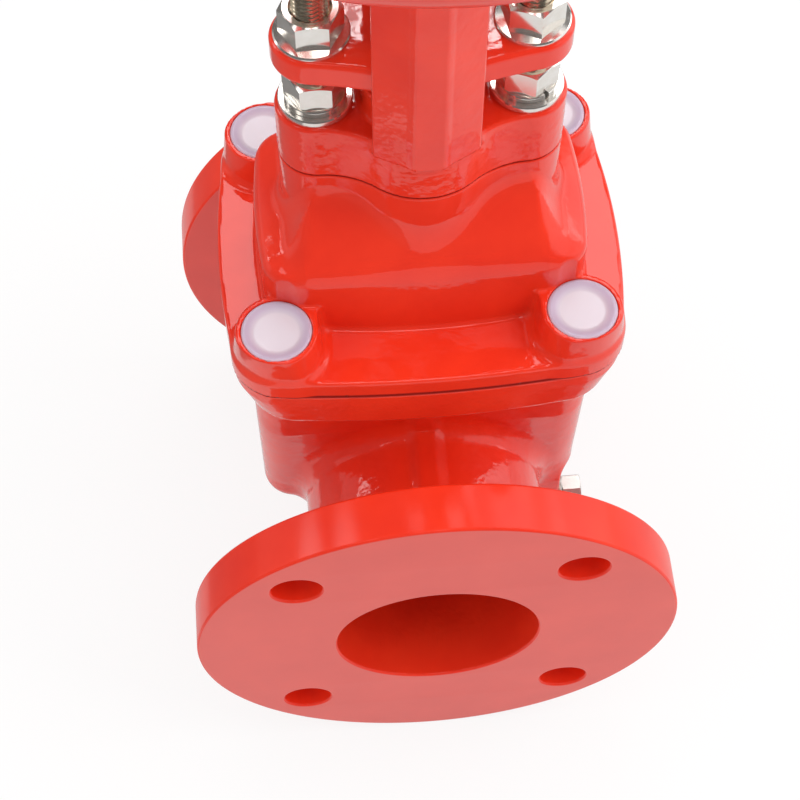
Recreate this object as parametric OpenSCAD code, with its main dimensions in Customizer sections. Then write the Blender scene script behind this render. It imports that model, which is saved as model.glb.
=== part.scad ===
/* [Pipe ends] */
// Length between the two pipe flange faces
face_to_face = 203.2; // [196:0.1:240]
// Outside diameter of the pipe flanges
flange_d = 190.5; // [182:0.5:210]
// Thickness of the pipe flanges
flange_t = 19.05; // [16:0.05:24]
// Diameter of the circle through the flange holes
bolt_circle = 152.4; // [146:0.1:160]
// Diameter of the inlet flange's holes
bolt_hole = 19; // [14:0.5:22]
// Diameter of the outlet flange's holes
outlet_bolt_hole = 19.4; // [14:0.1:22]
// Number of holes in each flange
bolt_count = 4; // [4, 8]
// Diameter of the waterway
bore_d = 80; // [70:0.5:82]
// Wall of the pipe neck round the waterway
neck_wall = 8; // [6:0.5:11]
// Fillet between the neck and the back of the flange
neck_fillet = 9; // [4:0.5:12]

/* [Body] */
// Wall of the body and of the dome above it
casting_wall = 7.5; // [6:0.5:8]
// Room beside the wedge for its guides
guide_room = 11; // [10:0.5:13]
// Height of the joint between body and bonnet above the waterway centre
joint_z = 121.5; // [116:0.5:128]
// Thickness of the flange on top of the body
body_flange_t = 19; // [15:0.5:22]
// Width of the body and bonnet flanges across the pipe
joint_w = 146; // [145:0.5:156]
// Depth of the body and bonnet flanges along the pipe
joint_d = 120; // [119:0.5:126]
// Radius of the flange corners
joint_corner = 18; // [14:0.5:19]
// Draft of the body flange's sides, at its lower edge
flange_draft = 4.5; // [2:0.5:6]
// Width of the rib over the neck
rib_w = 9; // [6:0.5:12]
// Height of the drain plug axis below the waterway centre
plug_drop = 39; // [34:0.5:40]
// Thread diameter of the drain plug
plug_d = 10; // [8:0.5:12]

/* [Bonnet] */
// Thickness of the bonnet flange
bonnet_flange_t = 8.5; // [7:0.5:12]
// Spacing of the bonnet screws across the pipe
screw_x = 106.6; // [106:0.2:110]
// Spacing of the bonnet screws along the pipe
screw_y = 86.8; // [86:0.2:90]
// Diameter of the bonnet screws
screw_d = 12; // [10:1:14]
// Diameter of the caps over the bonnet screws
cap_d = 24.8; // [23:0.2:26]
// Height of the screw bosses above the bonnet flange
boss_h = 13.8; // [12:0.2:16]
// Wall of the screw bosses round their caps
boss_rim = 1.9; // [1.4:0.1:3]
// Width of the dome across the pipe
dome_w = 117; // [114:0.5:119]
// Depth of the dome along the pipe
dome_d = 76; // [74:0.5:78]
// Height of the dome's upright wall above the joint
dome_wall_h = 35.5; // [33:0.5:41]
// Height of the bonnet's top face above the joint
bonnet_h = 68.5; // [65:0.5:75]

/* [Stuffing box] */
// Spacing of the gland studs
stud_pitch = 69; // [68:0.5:72]
// Diameter of the gland studs
stud_d = 12; // [10:1:12]
// Radius of the lobes round the studs
lobe_r = 13.5; // [13:0.1:15]
// Radius of the yoke base round the stem
collar_r = 27.5; // [27:0.5:29]
// Radius of the hollow between lobe and collar
lobe_fillet = 30; // [20:1:45]
// Height of the round boss on the yoke base
box_boss_h = 12; // [8:0.5:14]
// Thickness of the yoke base
yoke_base_t = 24; // [20:0.5:28]
// Height of the gland plate above the yoke base
gland_gap = 22; // [20:0.5:26]
// Thickness of the gland plate
gland_t = 10.4; // [8:0.2:12]
// Radius of the gland plate round the stem
gland_r = 22; // [21.5:0.1:23]
// Side of the square section of the packing rings
packing_s = 6; // [5:0.5:6]
// Number of packing rings
packing_n = 5; // [4:1:6]

/* [Yoke] */
// Height of the free part of the yoke legs
leg_h = 106; // [100:1:130]
// Thickness of the yoke legs
leg_t = 5.5; // [5:0.5:8]
// Width of the yoke legs
leg_w = 35; // [30:0.5:36]
// Width of the raised band down each leg
band_w = 12; // [9:0.5:16]
// Height of the yoke head
head_h = 34; // [32:0.5:40]
// Outside radius of the yoke head
head_r = 31; // [30:0.5:36]

/* [Stem] */
// Diameter of the stem
stem_d = 22; // [20:0.5:24]
// Lift of the wedge from shut to open
lift = 85; // [78:0.5:87]
// Wall of the stem nut round the stem
nut_wall = 5; // [4.5:0.5:6]

/* [Wedge] */
// Thickness of the wedge at the waterway centre
wedge_t = 42; // [38:0.5:44]
// Slope of each wedge face in degrees
taper = 5; // [4:0.5:6]
// Width of the sealing band round the waterway
seal_band = 6.5; // [5:0.5:8]
// Thickness of the rubber over the wedge
rubber_t = 4.5; // [3:0.5:6]

/* [Handwheel] */
// Outside diameter of the handwheel
wheel_d = 214; // [190:1:230]
// Thickness of the handwheel rim
rim_t = 18; // [15:0.5:22]
// Number of spokes
spoke_n = 5; // [3:1:6]
// Height of the handwheel hub
hub_h = 26; // [22:0.5:30]
// Wall of the handwheel hub round its bore
hub_wall = 8; // [6:0.5:12]
// Width of the key in the handwheel hub
key_w = 5; // [4:0.5:6]

/* [Clearances] */
// Clearance on the radius between a shaft and its bore
fit = 0.05; // [0.03:0.01:0.08]
// Clearance between loose faces
gap = 0.3; // [0.2:0.05:0.4]

/* [Hidden] */
$fn = 64;

// Reach past a face that a cut needs
over = 1;

bore_r = bore_d / 2;
neck_r = bore_r + neck_wall;
flange_back = face_to_face / 2 - flange_t;

// The wedge and the chamber that it slides in
wedge_r = bore_r + seal_band;
slope = tan(taper);
chamber_x = wedge_r + guide_room;
taper_top = wedge_r + 4;
chamber_y = wedge_t / 2 + taper_top * slope + gap;
barrel_x = chamber_x + casting_wall;
barrel_y = chamber_y + casting_wall;
barrel_corner = 1.6 * casting_wall;
barrel_edge = 1.3 * casting_wall;
front_y = wedge_t / 2 + gap + casting_wall;
well_r = wedge_r + 2;
bowl_r = well_r + casting_wall;
barrel_fillet = bowl_r - neck_r;
flange_floor = joint_z - body_flange_t;
flange_lip = 6;
flare_h = 14;

// The boss that the drain plug is screwed into
plug_y = 0.68 * front_y;
plug_face = bowl_r + 3.5;

// The bonnet
seat_top = joint_z + bonnet_flange_t;
boss_top = seat_top + boss_h;
cap_t = 3;
head_d = 1.5 * screw_d;
screw_seat = boss_top - cap_t - screw_d;
boss_r = cap_d / 2 + boss_rim;
boss_foot_r = boss_r + 2.2;
wall_top = joint_z + dome_wall_h;
neck_top = joint_z + bonnet_h;
tower_foot = wall_top + 0.7 * (bonnet_h - dome_wall_h);
dome_power = 3;
hollow_corner = 19;
gasket_t = 1.5;
gasket_w = 5;

// The stuffing box
stem_r = stem_d / 2;
box_r = stem_r + packing_s;
stud_x = stud_pitch / 2;
base_top = neck_top + yoke_base_t;
packing_h = packing_n * packing_s;
packing_top = base_top - 8;
packing_floor = packing_top - packing_h;
bush_t = 8;
bush_floor = packing_floor - bush_t;
gland_z = base_top + gland_gap;
gland_top = gland_z + gland_t;
washer_t = 2.5;
nut_af = 1.5 * stud_d;
nut_h = 0.83 * stud_d;
stud_top = gland_top + nut_h + 20;
stud_foot = neck_top - 20;
gland_hollow = 150;
seal_depth = 2.2;
seal_in = box_r + 2;
seal_out = seal_in + 3;

// The yoke head and the stem nut
leg_in = gland_r + 0.6;
leg_out = leg_in + leg_t;
band_rise = 0.8;
ledge_z = base_top - 5;
head_foot = base_top + leg_h;
head_top = head_foot + head_h;
sleeve_r = stem_r + nut_wall;
collar_h = 9;
nut_collar_r = sleeve_r + 5.5;
thrust_t = 3;
thrust_foot = head_foot + 12;
nut_collar_z = thrust_foot + thrust_t;
upper_thrust_z = nut_collar_z + collar_h;
cap_foot = upper_thrust_z + thrust_t;
cap_spigot = head_top - cap_foot;
cap_plate_t = 6;
cap_screw_d = 5;
cap_screw_l = 8;
cap_screw_r = (head_r + nut_collar_r) / 2;

// The handwheel
hub_foot = head_top + cap_plate_t + 4;
hub_top = hub_foot + hub_h;
hub_r = sleeve_r + hub_wall;
rim_r = (wheel_d - rim_t) / 2;
rim_z = hub_foot + hub_h / 2;
wheel_washer_t = 3;
wheel_nut_h = 11;
wheel_nut_af = 2 * sleeve_r + 12;
nut_top = hub_top + wheel_washer_t + wheel_nut_h + 2;
key_len = hub_h - 4;

// The stem and what it carries
stem_top = nut_top + 6;
nut_room_z = wedge_r - 1;
nut_block_h = 16;
shank_r = stem_r - 2;
collar_top = bush_floor - lift - gap;
tower_x = stem_r + 11;
tower_y = stem_r + 5;
pin_r = 3;
guide_w = 4;
ear_x = chamber_x - 7.5;
ear_low = -4;
ear_high = 26;
chamber_floor = ear_low - 5;
barrel_floor = chamber_floor - casting_wall;

// Points of an arc round a centre
function arc(c, r, a0, a1, n) =
    [for (i = [0 : n]) let (a = a0 + (a1 - a0) * i / n) [c[0] + r * cos(a), c[1] + r * sin(a)]];

// Outline with bulging sides that run tangent into round corners
function bulged(hw, hd, cx, cy, rc) =
    let (
        rs = (rc * rc - (cx - hw) * (cx - hw) - cy * cy) / (2 * (cx - hw + rc)),
        rf = (rc * rc - (cy - hd) * (cy - hd) - cx * cx) / (2 * (cy - hd + rc)),
        side = atan2(cy, cx - hw + rs),
        front = atan2(cy - hd + rf, cx),
        quarter = concat(
            arc([hw - rs, 0], rs, 0, side, 6),
            arc([cx, cy], rc, side, front, 8),
            arc([0, hd - rf], rf, front, 90, 6))
    )
    four_way(quarter);

// A quarter outline from +X to +Y, mirrored to all four quarters
function four_way(q) =
    let (n = len(q) - 1)
    concat(
        [for (i = [0 : n - 1]) q[i]],
        [for (i = [n : -1 : 1]) [-q[i][0], q[i][1]]],
        [for (i = [0 : n - 1]) [-q[i][0], -q[i][1]]],
        [for (i = [n : -1 : 1]) [q[i][0], -q[i][1]]]);

// Two lobes on a collar, with a hollow fillet between lobe and collar
function lobed(rc, rl, d, rf) =
    let (
        fx = ((rc + rf) * (rc + rf) - (rl + rf) * (rl + rf) + d * d) / (2 * d),
        fy = sqrt((rc + rf) * (rc + rf) - fx * fx),
        on_lobe = atan2(fy, fx - d),
        on_collar = atan2(fy, fx)
    )
    four_way(concat(
        arc([d, 0], rl, 0, on_lobe, 8),
        [for (i = [1 : 3])
            let (a = 180 + on_lobe + (on_collar - on_lobe) * i / 4)
            [fx + rf * cos(a), fy + rf * sin(a)]],
        arc([0, 0], rc, on_collar, 90, 5)));

// Distance to a rounded rectangle of half sizes a and b along one direction
function dome_reach(t, a, b) =
    1 / pow(pow(abs(cos(t)) / a, dome_power) + pow(abs(sin(t)) / b, dome_power), 1 / dome_power);

// Ring of points at height z: the dome's outline at blend 0, the lobed neck's at blend 1
function dome_ring(z, blend) =
    [for (p = lobed(collar_r, lobe_r, stud_x, lobe_fillet))
        let (
            t = atan2(p[1], p[0]),
            foot = dome_reach(t, dome_w / 2, dome_d / 2),
            r = foot + (norm(p) - foot) * blend
        )
        [r * cos(t), r * sin(t), z]];

// Skin through a stack of rings that have the same number of points
module loft(rings) {
    n = len(rings[0]);
    m = len(rings);
    points = [for (ring = rings) for (p = ring) p];
    sides = [for (k = [0 : m - 2]) for (i = [0 : n - 1])
        let (j = (i + 1) % n)
        each [[k * n + i, (k + 1) * n + j, k * n + j],
            [k * n + i, (k + 1) * n + i, (k + 1) * n + j]]];
    foot = [for (i = [0 : n - 1]) i];
    top = [for (i = [n - 1 : -1 : 0]) (m - 1) * n + i];
    polyhedron(points, concat(sides, [foot, top]), convexity = 6);
}

// Everything is drawn about the waterway centre, and the origin is the inlet face
module placed() {
    translate([0, face_to_face / 2, 0]) children();
}

module ring(r_out, r_in, h) {
    difference() {
        cylinder(r = r_out, h = h);
        translate([0, 0, -over]) cylinder(r = r_in, h = h + 2 * over);
    }
}

module hex_prism(af, h) {
    cylinder(d = af / cos(30), h = h, $fn = 6);
}

module at_screws() {
    for (x = [-1, 1], y = [-1, 1]) translate([x * screw_x / 2, y * screw_y / 2, 0]) children();
}

module at_studs(z) {
    for (x = [-1, 1]) translate([x * stud_x, 0, z]) children();
}

// A shape turned to lie along the pipe, its +Z towards the inlet
module along_pipe() {
    rotate([90, 0, 0]) children();
}

// Outline of the joint's flanges, its sides moved in by inset
module joint_outline(inset = 0) {
    polygon(bulged(joint_w / 2 - inset, joint_d / 2, joint_w / 2 - inset - joint_corner - 3.3,
        joint_d / 2 - joint_corner - 3, joint_corner));
}

module rounded_plate(x, y, r) {
    square([2 * x, 2 * (y - r)], center = true);
    square([2 * (x - r), 2 * y], center = true);
    for (sx = [-1, 1], sy = [-1, 1]) translate([sx * (x - r), sy * (y - r)]) circle(r = r);
}

module rounded_box(x, y, r, h) {
    linear_extrude(h) rounded_plate(x, y, r);
}

// Prism with the wedge's slope on both faces, its half thickness set at the centre
module taper_prism(half_t, half_w, low, high) {
    rotate([90, 0, 90]) linear_extrude(2 * half_w, center = true) polygon([
        [-half_t - low * slope, low], [half_t + low * slope, low],
        [half_t + high * slope, high], [-half_t - high * slope, high]]);
}

// Disc of the wedge, cut to the slope of its faces
module wedge_disc(r, inset) {
    intersection() {
        along_pipe() cylinder(r = r, h = 4 * wedge_t, center = true, $fn = 96);
        taper_prism(wedge_t / 2 - inset, 2 * wedge_r, -2 * wedge_r, 2 * wedge_r);
    }
}

// The barrel seen along the pipe: upright sides and rounded lower corners
module barrel_front() {
    for (x = [-1, 1]) translate([x * (barrel_x - barrel_edge), barrel_floor + barrel_edge])
        circle(r = barrel_edge);
    translate([barrel_edge - barrel_x, barrel_floor])
        square([2 * (barrel_x - barrel_edge), joint_z - over - barrel_floor]);
    translate([-barrel_x, barrel_floor + barrel_edge])
        square([2 * barrel_x, joint_z - over - barrel_floor - barrel_edge]);
}

// The barrel seen across the pipe: faces that follow the wedge's slope
module barrel_side() {
    for (y = [-1, 1]) translate([y * (front_y - barrel_corner), barrel_floor + barrel_corner])
        circle(r = barrel_corner);
    translate([barrel_corner - front_y, barrel_floor])
        square([2 * (front_y - barrel_corner), joint_z]);
    polygon([[-front_y, barrel_floor + barrel_corner], [front_y, barrel_floor + barrel_corner],
        [front_y, 0], [barrel_y, taper_top], [barrel_y, joint_z], [-barrel_y, joint_z],
        [-barrel_y, taper_top], [-front_y, 0]]);
}

// Barrel: an upright box with rounded edges over a round bowl
module barrel() {
    intersection() {
        along_pipe() linear_extrude(4 * barrel_y, center = true) barrel_front();
        rotate([90, 0, 90]) linear_extrude(4 * barrel_x, center = true) barrel_side();
        translate([0, 0, barrel_floor])
            rounded_box(barrel_x, barrel_y, barrel_corner, joint_z - barrel_floor);
    }
    rotate([-90, 0, 0]) rotate_extrude(angle = 180, $fn = 128) intersection() {
        rounded_plate(bowl_r, front_y, barrel_corner);
        translate([0, -2 * front_y]) square([2 * bowl_r, 4 * front_y]);
    }
}

// The chamber seen along the pipe, made smaller by ease
module chamber_outline(ease) {
    circle(r = well_r - ease, $fn = 128);
    translate([ease - chamber_x, chamber_floor + ease])
        square([2 * (chamber_x - ease), joint_z - chamber_floor]);
}

// Hollow that the wedge slides in: tapered round the waterway, straight above
module chamber() {
    intersection() {
        along_pipe() linear_extrude(4 * barrel_y, center = true) chamber_outline(0);
        taper_prism(wedge_t / 2 + gap, 2 * barrel_x, -2 * barrel_x, taper_top);
    }
    translate([0, 0, taper_top - over])
        rounded_box(chamber_x, chamber_y, 4, joint_z - taper_top + 2 * over);
}

// One pipe end: neck, fillet and flange as one revolved profile
module pipe_end(hole_d) {
    profile = concat(
        [[0, 0], [bowl_r, 0], [bowl_r, front_y]],
        arc([bowl_r, front_y + barrel_fillet], barrel_fillet, -90, -180, 8),
        arc([neck_r + neck_fillet, flange_back - neck_fillet], neck_fillet, 180, 90, 8),
        [[flange_d / 2 - 1, flange_back], [flange_d / 2, flange_back + 1]],
        [[flange_d / 2, face_to_face / 2 - 1], [flange_d / 2 - 1, face_to_face / 2]],
        [[0, face_to_face / 2]]);
    along_pipe() difference() {
        rotate_extrude($fn = 128) polygon(profile);
        for (i = [0 : bolt_count - 1]) rotate(360 / bolt_count * (i + 0.5))
            translate([bolt_circle / 2, 0, flange_back - over])
                cylinder(d = hole_d, h = flange_t + 2 * over);
    }
}

// Side flare under the body flange and the flange itself
module body_flange() {
    hull() {
        translate([0, 0, joint_z - flange_lip]) linear_extrude(flange_lip) joint_outline();
        translate([0, 0, flange_floor]) linear_extrude(0.1) joint_outline(flange_draft);
    }
    hull() {
        translate([0, 0, flange_floor - flare_h])
            rounded_box(barrel_x, barrel_y, barrel_corner, 0.1, $fn = 32);
        translate([0, 0, flange_floor]) rounded_box(joint_w / 2 - flange_draft - 1,
            barrel_y + flare_h / 2, barrel_corner, 0.1, $fn = 32);
    }
}

module neck_rib() {
    for (s = [-1, 1]) translate([-rib_w / 2, s > 0 ? 0 : -flange_back - over, 0])
        cube([rib_w, flange_back + over, neck_r + 2]);
    translate([-rib_w / 2, -barrel_y - 2, 0]) cube([rib_w, 2 * barrel_y + 4, flange_floor + over]);
}

// Everything at the drain plug is drawn along its axis, with the boss's face at 0
module at_plug() {
    translate([plug_face, -plug_y, -plug_drop]) rotate([0, 90, 0]) children();
}

// Boss on the side of the bowl, carried up to the barrel's floor
module plug_boss() {
    r = plug_d / 2 + 4.5;
    at_plug() translate([0, 0, -plug_face / 2]) linear_extrude(plug_face / 2) {
        circle(r = r);
        translate([barrel_floor - plug_drop, -r]) square([plug_drop - barrel_floor, 2 * r]);
    }
}

module valve_body() {
    color("#d82c1e") placed() difference() {
        union() {
            barrel();
            pipe_end(bolt_hole);
            mirror([0, 1, 0]) pipe_end(outlet_bolt_hole);
            body_flange();
            neck_rib();
            plug_boss();
        }
        difference() {
            chamber();
            for (x = [-1, 1]) translate([x * chamber_x, 0, joint_z / 2 - 20])
                cube([11, 2 * guide_w, joint_z + 40], center = true);
        }
        along_pipe() cylinder(r = bore_r, h = face_to_face + 2 * over, center = true, $fn = 96);
        at_screws() translate([0, 0, flange_floor - over])
            cylinder(d = screw_d + 2 * fit, h = body_flange_t + 2 * over);
        translate([0, 0, joint_z - gasket_t]) gasket_track(0);
        at_plug() translate([0, 0, -plug_face / 2 - 4])
            cylinder(d = plug_d + 2 * fit, h = plug_face);
    }
}

// Band round the chamber's mouth, for the groove and the gasket in it
module gasket_track(ease) {
    difference() {
        rounded_box(chamber_x + 1 + gasket_w - ease, chamber_y + 4 + gasket_w - ease, 12,
            gasket_t + (ease > 0 ? 0 : over));
        translate([0, 0, -over]) rounded_box(chamber_x + 1 + ease, chamber_y + 4 + ease, 9,
            gasket_t + 3 * over);
    }
}

module bonnet_gasket() {
    color("#202022") placed() translate([0, 0, joint_z - gasket_t]) gasket_track(fit);
}

// Heights and blends of the dome, from inside the flange to the top of the lobed neck
dome_steps = 5;
dome_stack = concat(
    [[joint_z + over, 0]],
    [for (i = [0 : dome_steps]) let (s = i / dome_steps)
        [wall_top + (tower_foot - wall_top) * s, 0.4 * s + 0.6 * s * s * (3 - 2 * s)]],
    [[neck_top, 1]]);

module dome() {
    loft([for (s = dome_stack) dome_ring(s[0], s[1])]);
}

// Hollow of the dome: upright walls and a lofted roof under the stuffing box
module dome_hollow() {
    roof = bush_floor;
    shoulder = wall_top - casting_wall;
    hull() {
        translate([0, 0, joint_z - over])
            rounded_box(dome_w / 2 - casting_wall, dome_d / 2 - casting_wall, hollow_corner, 1,
                $fn = 32);
        translate([0, 0, shoulder - 8])
            rounded_box(dome_w / 2 - casting_wall, dome_d / 2 - casting_wall, hollow_corner, 1,
                $fn = 32);
        translate([0, 0, roof - 1]) rounded_box(stud_x - 8, box_r + 1, 8, 1, $fn = 32);
    }
}

// Tapered boss with a rounded top edge
module screw_boss() {
    rotate_extrude() polygon(concat(
        [[0, 0], [boss_foot_r, 0], [boss_foot_r, bonnet_flange_t]],
        arc([boss_r - 1, boss_top - joint_z - 1], 1, 0, 90, 4),
        [[0, boss_top - joint_z]]));
}

// The four bosses, flush with the corners of the flange
module screw_bosses() {
    translate([0, 0, joint_z]) intersection() {
        at_screws() screw_boss();
        linear_extrude(boss_top) joint_outline();
    }
}

module bonnet() {
    color("#dc3021") placed() difference() {
        union() {
            translate([0, 0, joint_z]) linear_extrude(bonnet_flange_t) joint_outline();
            dome();
            screw_bosses();
        }
        dome_hollow();
        translate([0, 0, bush_floor - 3]) cylinder(r = box_r - 1.5, h = 4);
        translate([0, 0, bush_floor]) cylinder(r = box_r, h = neck_top);
        at_screws() {
            translate([0, 0, joint_z - over]) cylinder(d = screw_d + 1, h = boss_h + 30);
            translate([0, 0, screw_seat]) cylinder(r = cap_d / 2, h = screw_d + 10);
        }
        at_studs(stud_foot) cylinder(d = stud_d + 2 * fit, h = neck_top);
        translate([0, 0, neck_top - seal_depth]) ring(seal_out, seal_in, seal_depth + over);
    }
}

module yoke_seal() {
    color("#1c1c1e") placed() translate([0, 0, neck_top - seal_depth])
        ring(seal_out - fit, seal_in + fit, seal_depth);
}

module bonnet_screws() {
    color("#c9c9cb") placed() at_screws() {
        translate([0, 0, flange_floor + 1]) cylinder(d = screw_d, h = screw_seat - flange_floor - 1);
        translate([0, 0, screw_seat]) difference() {
            cylinder(d = head_d, h = screw_d - 0.5);
            translate([0, 0, screw_d / 2 - 0.5]) hex_prism(0.83 * screw_d, screw_d);
        }
    }
}

// Dished plastic cap pressed into the boss
module screw_caps() {
    color("#e6e0ea") placed() at_screws() translate([0, 0, boss_top - cap_t]) rotate_extrude()
        polygon([[0, 0], [cap_d / 2 - fit, 0], [cap_d / 2 - fit, cap_t - 0.3],
            [cap_d / 2 - 0.5, cap_t], [cap_d / 2 - 2, cap_t], [cap_d / 2 - 4, cap_t - 1],
            [0, cap_t - 1]]);
}

module drain_plug() {
    color("#c8c4bc") placed() at_plug() {
        translate([0, 0, -8]) cylinder(d = plug_d, h = 10);
        translate([0, 0, 1.5]) cylinder(d = 1.5 * plug_d + 2, h = 1.5);
        translate([0, 0, 2.5]) hex_prism(1.4 * plug_d, 9.5);
    }
}

module plug_washer() {
    color("#b87333") placed() at_plug() ring(plug_d / 2 + 4, plug_d / 2 + fit, 1.5);
}

module gland_outline(ease) {
    polygon(lobed(gland_r + ease, lobe_r + ease, stud_x, gland_hollow));
}

// Section of both legs: bevelled outsides with a raised band, hollowed round the gland plate
module leg_section() {
    side = sqrt(leg_out * leg_out - leg_w * leg_w / 4);
    difference() {
        polygon(four_way([
            [leg_w / 2, 0], [leg_w / 2, side], [band_w / 2, leg_out],
            [band_w / 2 - band_rise, leg_out + band_rise], [0, leg_out + band_rise]]));
        gland_outline(leg_in - gland_r);
    }
}

module yoke() {
    color("#dc3021") placed() difference() {
        union() {
            difference() {
                translate([0, 0, neck_top]) linear_extrude(yoke_base_t)
                    polygon(lobed(collar_r, lobe_r, stud_x, lobe_fillet));
                for (s = [-1, 1]) translate([-leg_w / 2, s > 0 ? leg_in : -leg_in - 2 * leg_t, ledge_z])
                    cube([leg_w, 2 * leg_t, yoke_base_t]);
            }
            translate([0, 0, base_top - over]) cylinder(r = box_r + 3, h = box_boss_h + over);
            translate([0, 0, ledge_z - over])
                linear_extrude(head_foot - ledge_z + 2 * over) leg_section();
            translate([0, 0, head_foot - 12]) cylinder(r1 = leg_out - 0.7, r2 = head_r, h = 12);
            translate([0, 0, head_foot]) cylinder(r = head_r, h = head_h);
        }
        translate([0, 0, neck_top - over])
            cylinder(r = box_r, h = yoke_base_t + box_boss_h + 2 * over);
        translate([0, 0, head_foot - 12 - over])
            linear_extrude(12 + over) gland_outline(leg_in - gland_r);
        translate([0, 0, head_foot - over]) cylinder(r = sleeve_r + 1, h = head_h);
        translate([0, 0, thrust_foot]) cylinder(r = nut_collar_r + 0.5, h = head_h);
        at_studs(neck_top - over) cylinder(d = stud_d + 1, h = yoke_base_t + 2 * over);
        at_cap_screws(head_top - cap_screw_l - over)
            cylinder(d = cap_screw_d + 2 * fit, h = cap_screw_l + 2 * over);
    }
}

module at_cap_screws(z) {
    for (i = [0 : 3]) rotate(45 + 90 * i) translate([cap_screw_r, 0, z]) children();
}

module back_seat_bush() {
    color("#c8a24a") placed() translate([0, 0, bush_floor]) ring(box_r - fit, stem_r + fit, bush_t);
}

module packing_rings() {
    color("#3a3a3c") placed() for (i = [0 : packing_n - 1])
        translate([0, 0, packing_floor + i * packing_s])
            ring(box_r - fit, stem_r + fit, packing_s - fit);
}

// Sleeve that presses on the packing, with a nose up through the gland plate
module gland_bush() {
    color("#d8b45a") placed() {
        translate([0, 0, packing_top]) ring(box_r - fit, stem_r + 0.5, gland_z - packing_top);
        translate([0, 0, gland_z - over]) ring(box_r - 2, stem_r + 0.5, gland_t + 2 + over);
    }
}

module gland_plate() {
    color("#dc3021") placed() translate([0, 0, gland_z]) difference() {
        linear_extrude(gland_t) gland_outline(0);
        translate([0, 0, -over]) cylinder(r = box_r - 2 + gap, h = gland_t + 2 * over);
        at_studs(-over) cylinder(d = stud_d + 1, h = gland_t + 2 * over);
    }
}

module gland_studs() {
    color("#cfc9bd") placed() at_studs(stud_foot) {
        cylinder(d = stud_d, h = stud_top - stud_foot - 1);
        translate([0, 0, stud_top - stud_foot - 1])
            cylinder(d1 = stud_d, d2 = stud_d - 2, h = 1);
    }
}

module base_washers() {
    color("#d0ccc4") placed() at_studs(base_top) ring(stud_d + 0.2, stud_d / 2 + fit, washer_t);
}

module spring_washers() {
    color("#c4c0b8") placed() at_studs(base_top + washer_t) difference() {
        ring(0.86 * stud_d, stud_d / 2 + fit, washer_t);
        rotate(-60) translate([0, -0.8, -over]) cube([stud_d, 1.6, washer_t + 2 * over]);
    }
}

// Hexagon with its top corners turned off
module hex_nut(af, h, bore) {
    difference() {
        intersection() {
            hex_prism(af, h);
            union() {
                cylinder(r = af, h = h - af / 12);
                translate([0, 0, h - af / 12]) cylinder(r1 = af / 1.74, r2 = af / 2, h = af / 12);
            }
        }
        translate([0, 0, -over]) cylinder(d = bore, h = h + 2 * over);
    }
}

module base_nuts() {
    color("#d6cfc0") placed() at_studs(base_top + 2 * washer_t)
        hex_nut(nut_af, nut_h, stud_d + 2 * fit);
}

// Nuts with a round foot that bears on the gland plate
module gland_nuts() {
    color("#d6cfc0") placed() at_studs(gland_top) {
        ring(stud_d + 0.3, stud_d / 2 + fit, 1.6);
        translate([0, 0, 1.6]) hex_nut(nut_af, nut_h, stud_d + 2 * fit);
    }
}

module stem() {
    color("#d5d2cb") placed() difference() {
        union() {
            translate([0, 0, nut_room_z]) cylinder(r = shank_r, h = nut_block_h + 1);
            translate([0, 0, nut_room_z + nut_block_h])
                cylinder(r = stem_r, h = stem_top - nut_room_z - nut_block_h - 1.5);
            translate([0, 0, stem_top - 1.5]) cylinder(r1 = stem_r, r2 = stem_r - 1.5, h = 1.5);
            translate([0, 0, collar_top - 5]) cylinder(r = stem_r + 4, h = 5);
        }
        translate([0, 0, nut_room_z + nut_block_h / 2]) rotate([0, 90, 0])
            cylinder(r = pin_r + fit, h = 4 * stem_r, center = true);
    }
}

module wedge_nut() {
    color("#c9a13c") placed() translate([0, 0, nut_room_z]) difference() {
        translate([-stem_r - 4, -tower_y, 0]) cube([2 * stem_r + 8, 2 * tower_y, nut_block_h]);
        translate([0, 0, -over]) cylinder(r = shank_r + fit, h = nut_block_h + 2 * over);
        translate([0, 0, nut_block_h / 2]) rotate([0, 90, 0])
            cylinder(r = pin_r + fit, h = 4 * stem_r, center = true);
    }
}

module stem_pin() {
    color("#b8b8ba") placed() translate([0, 0, nut_room_z + nut_block_h / 2]) rotate([0, 90, 0])
        cylinder(r = pin_r, h = 2 * stem_r + 6, center = true);
}

// Shape of the wedge casting, grown by ease where the rubber leaves room for it
module wedge_casting(ease) {
    wedge_disc(wedge_r - rubber_t + ease, rubber_t - ease);
    translate([-tower_x - ease, -tower_y - ease, 0])
        cube([2 * (tower_x + ease), 2 * (tower_y + ease), nut_room_z + nut_block_h + 3]);
    translate([-ear_x + 3 - ease, -guide_w - 1 - ease, ear_low - ease])
        cube([2 * (ear_x - 3 + ease), 2 * (guide_w + 1 + ease), ear_high - ear_low + 2 * ease]);
}

module wedge_core() {
    color("#5a5a5e") placed() difference() {
        wedge_casting(0);
        translate([-stem_r - 4 - fit, -2 * tower_y, nut_room_z - fit])
            cube([2 * (stem_r + 4 + fit), 4 * tower_y, nut_block_h + 2 * fit]);
        translate([0, 0, nut_room_z]) cylinder(r = stem_r + 0.5, h = nut_block_h + 10);
        translate([-stem_r - 0.5, -2 * tower_y, nut_room_z + nut_block_h - over])
            cube([2 * stem_r + 1, 2 * tower_y, 10]);
    }
}

module wedge_rubber() {
    color("#1b1b1d") placed() difference() {
        wedge_disc(wedge_r, 0);
        wedge_casting(fit);
    }
}

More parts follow.
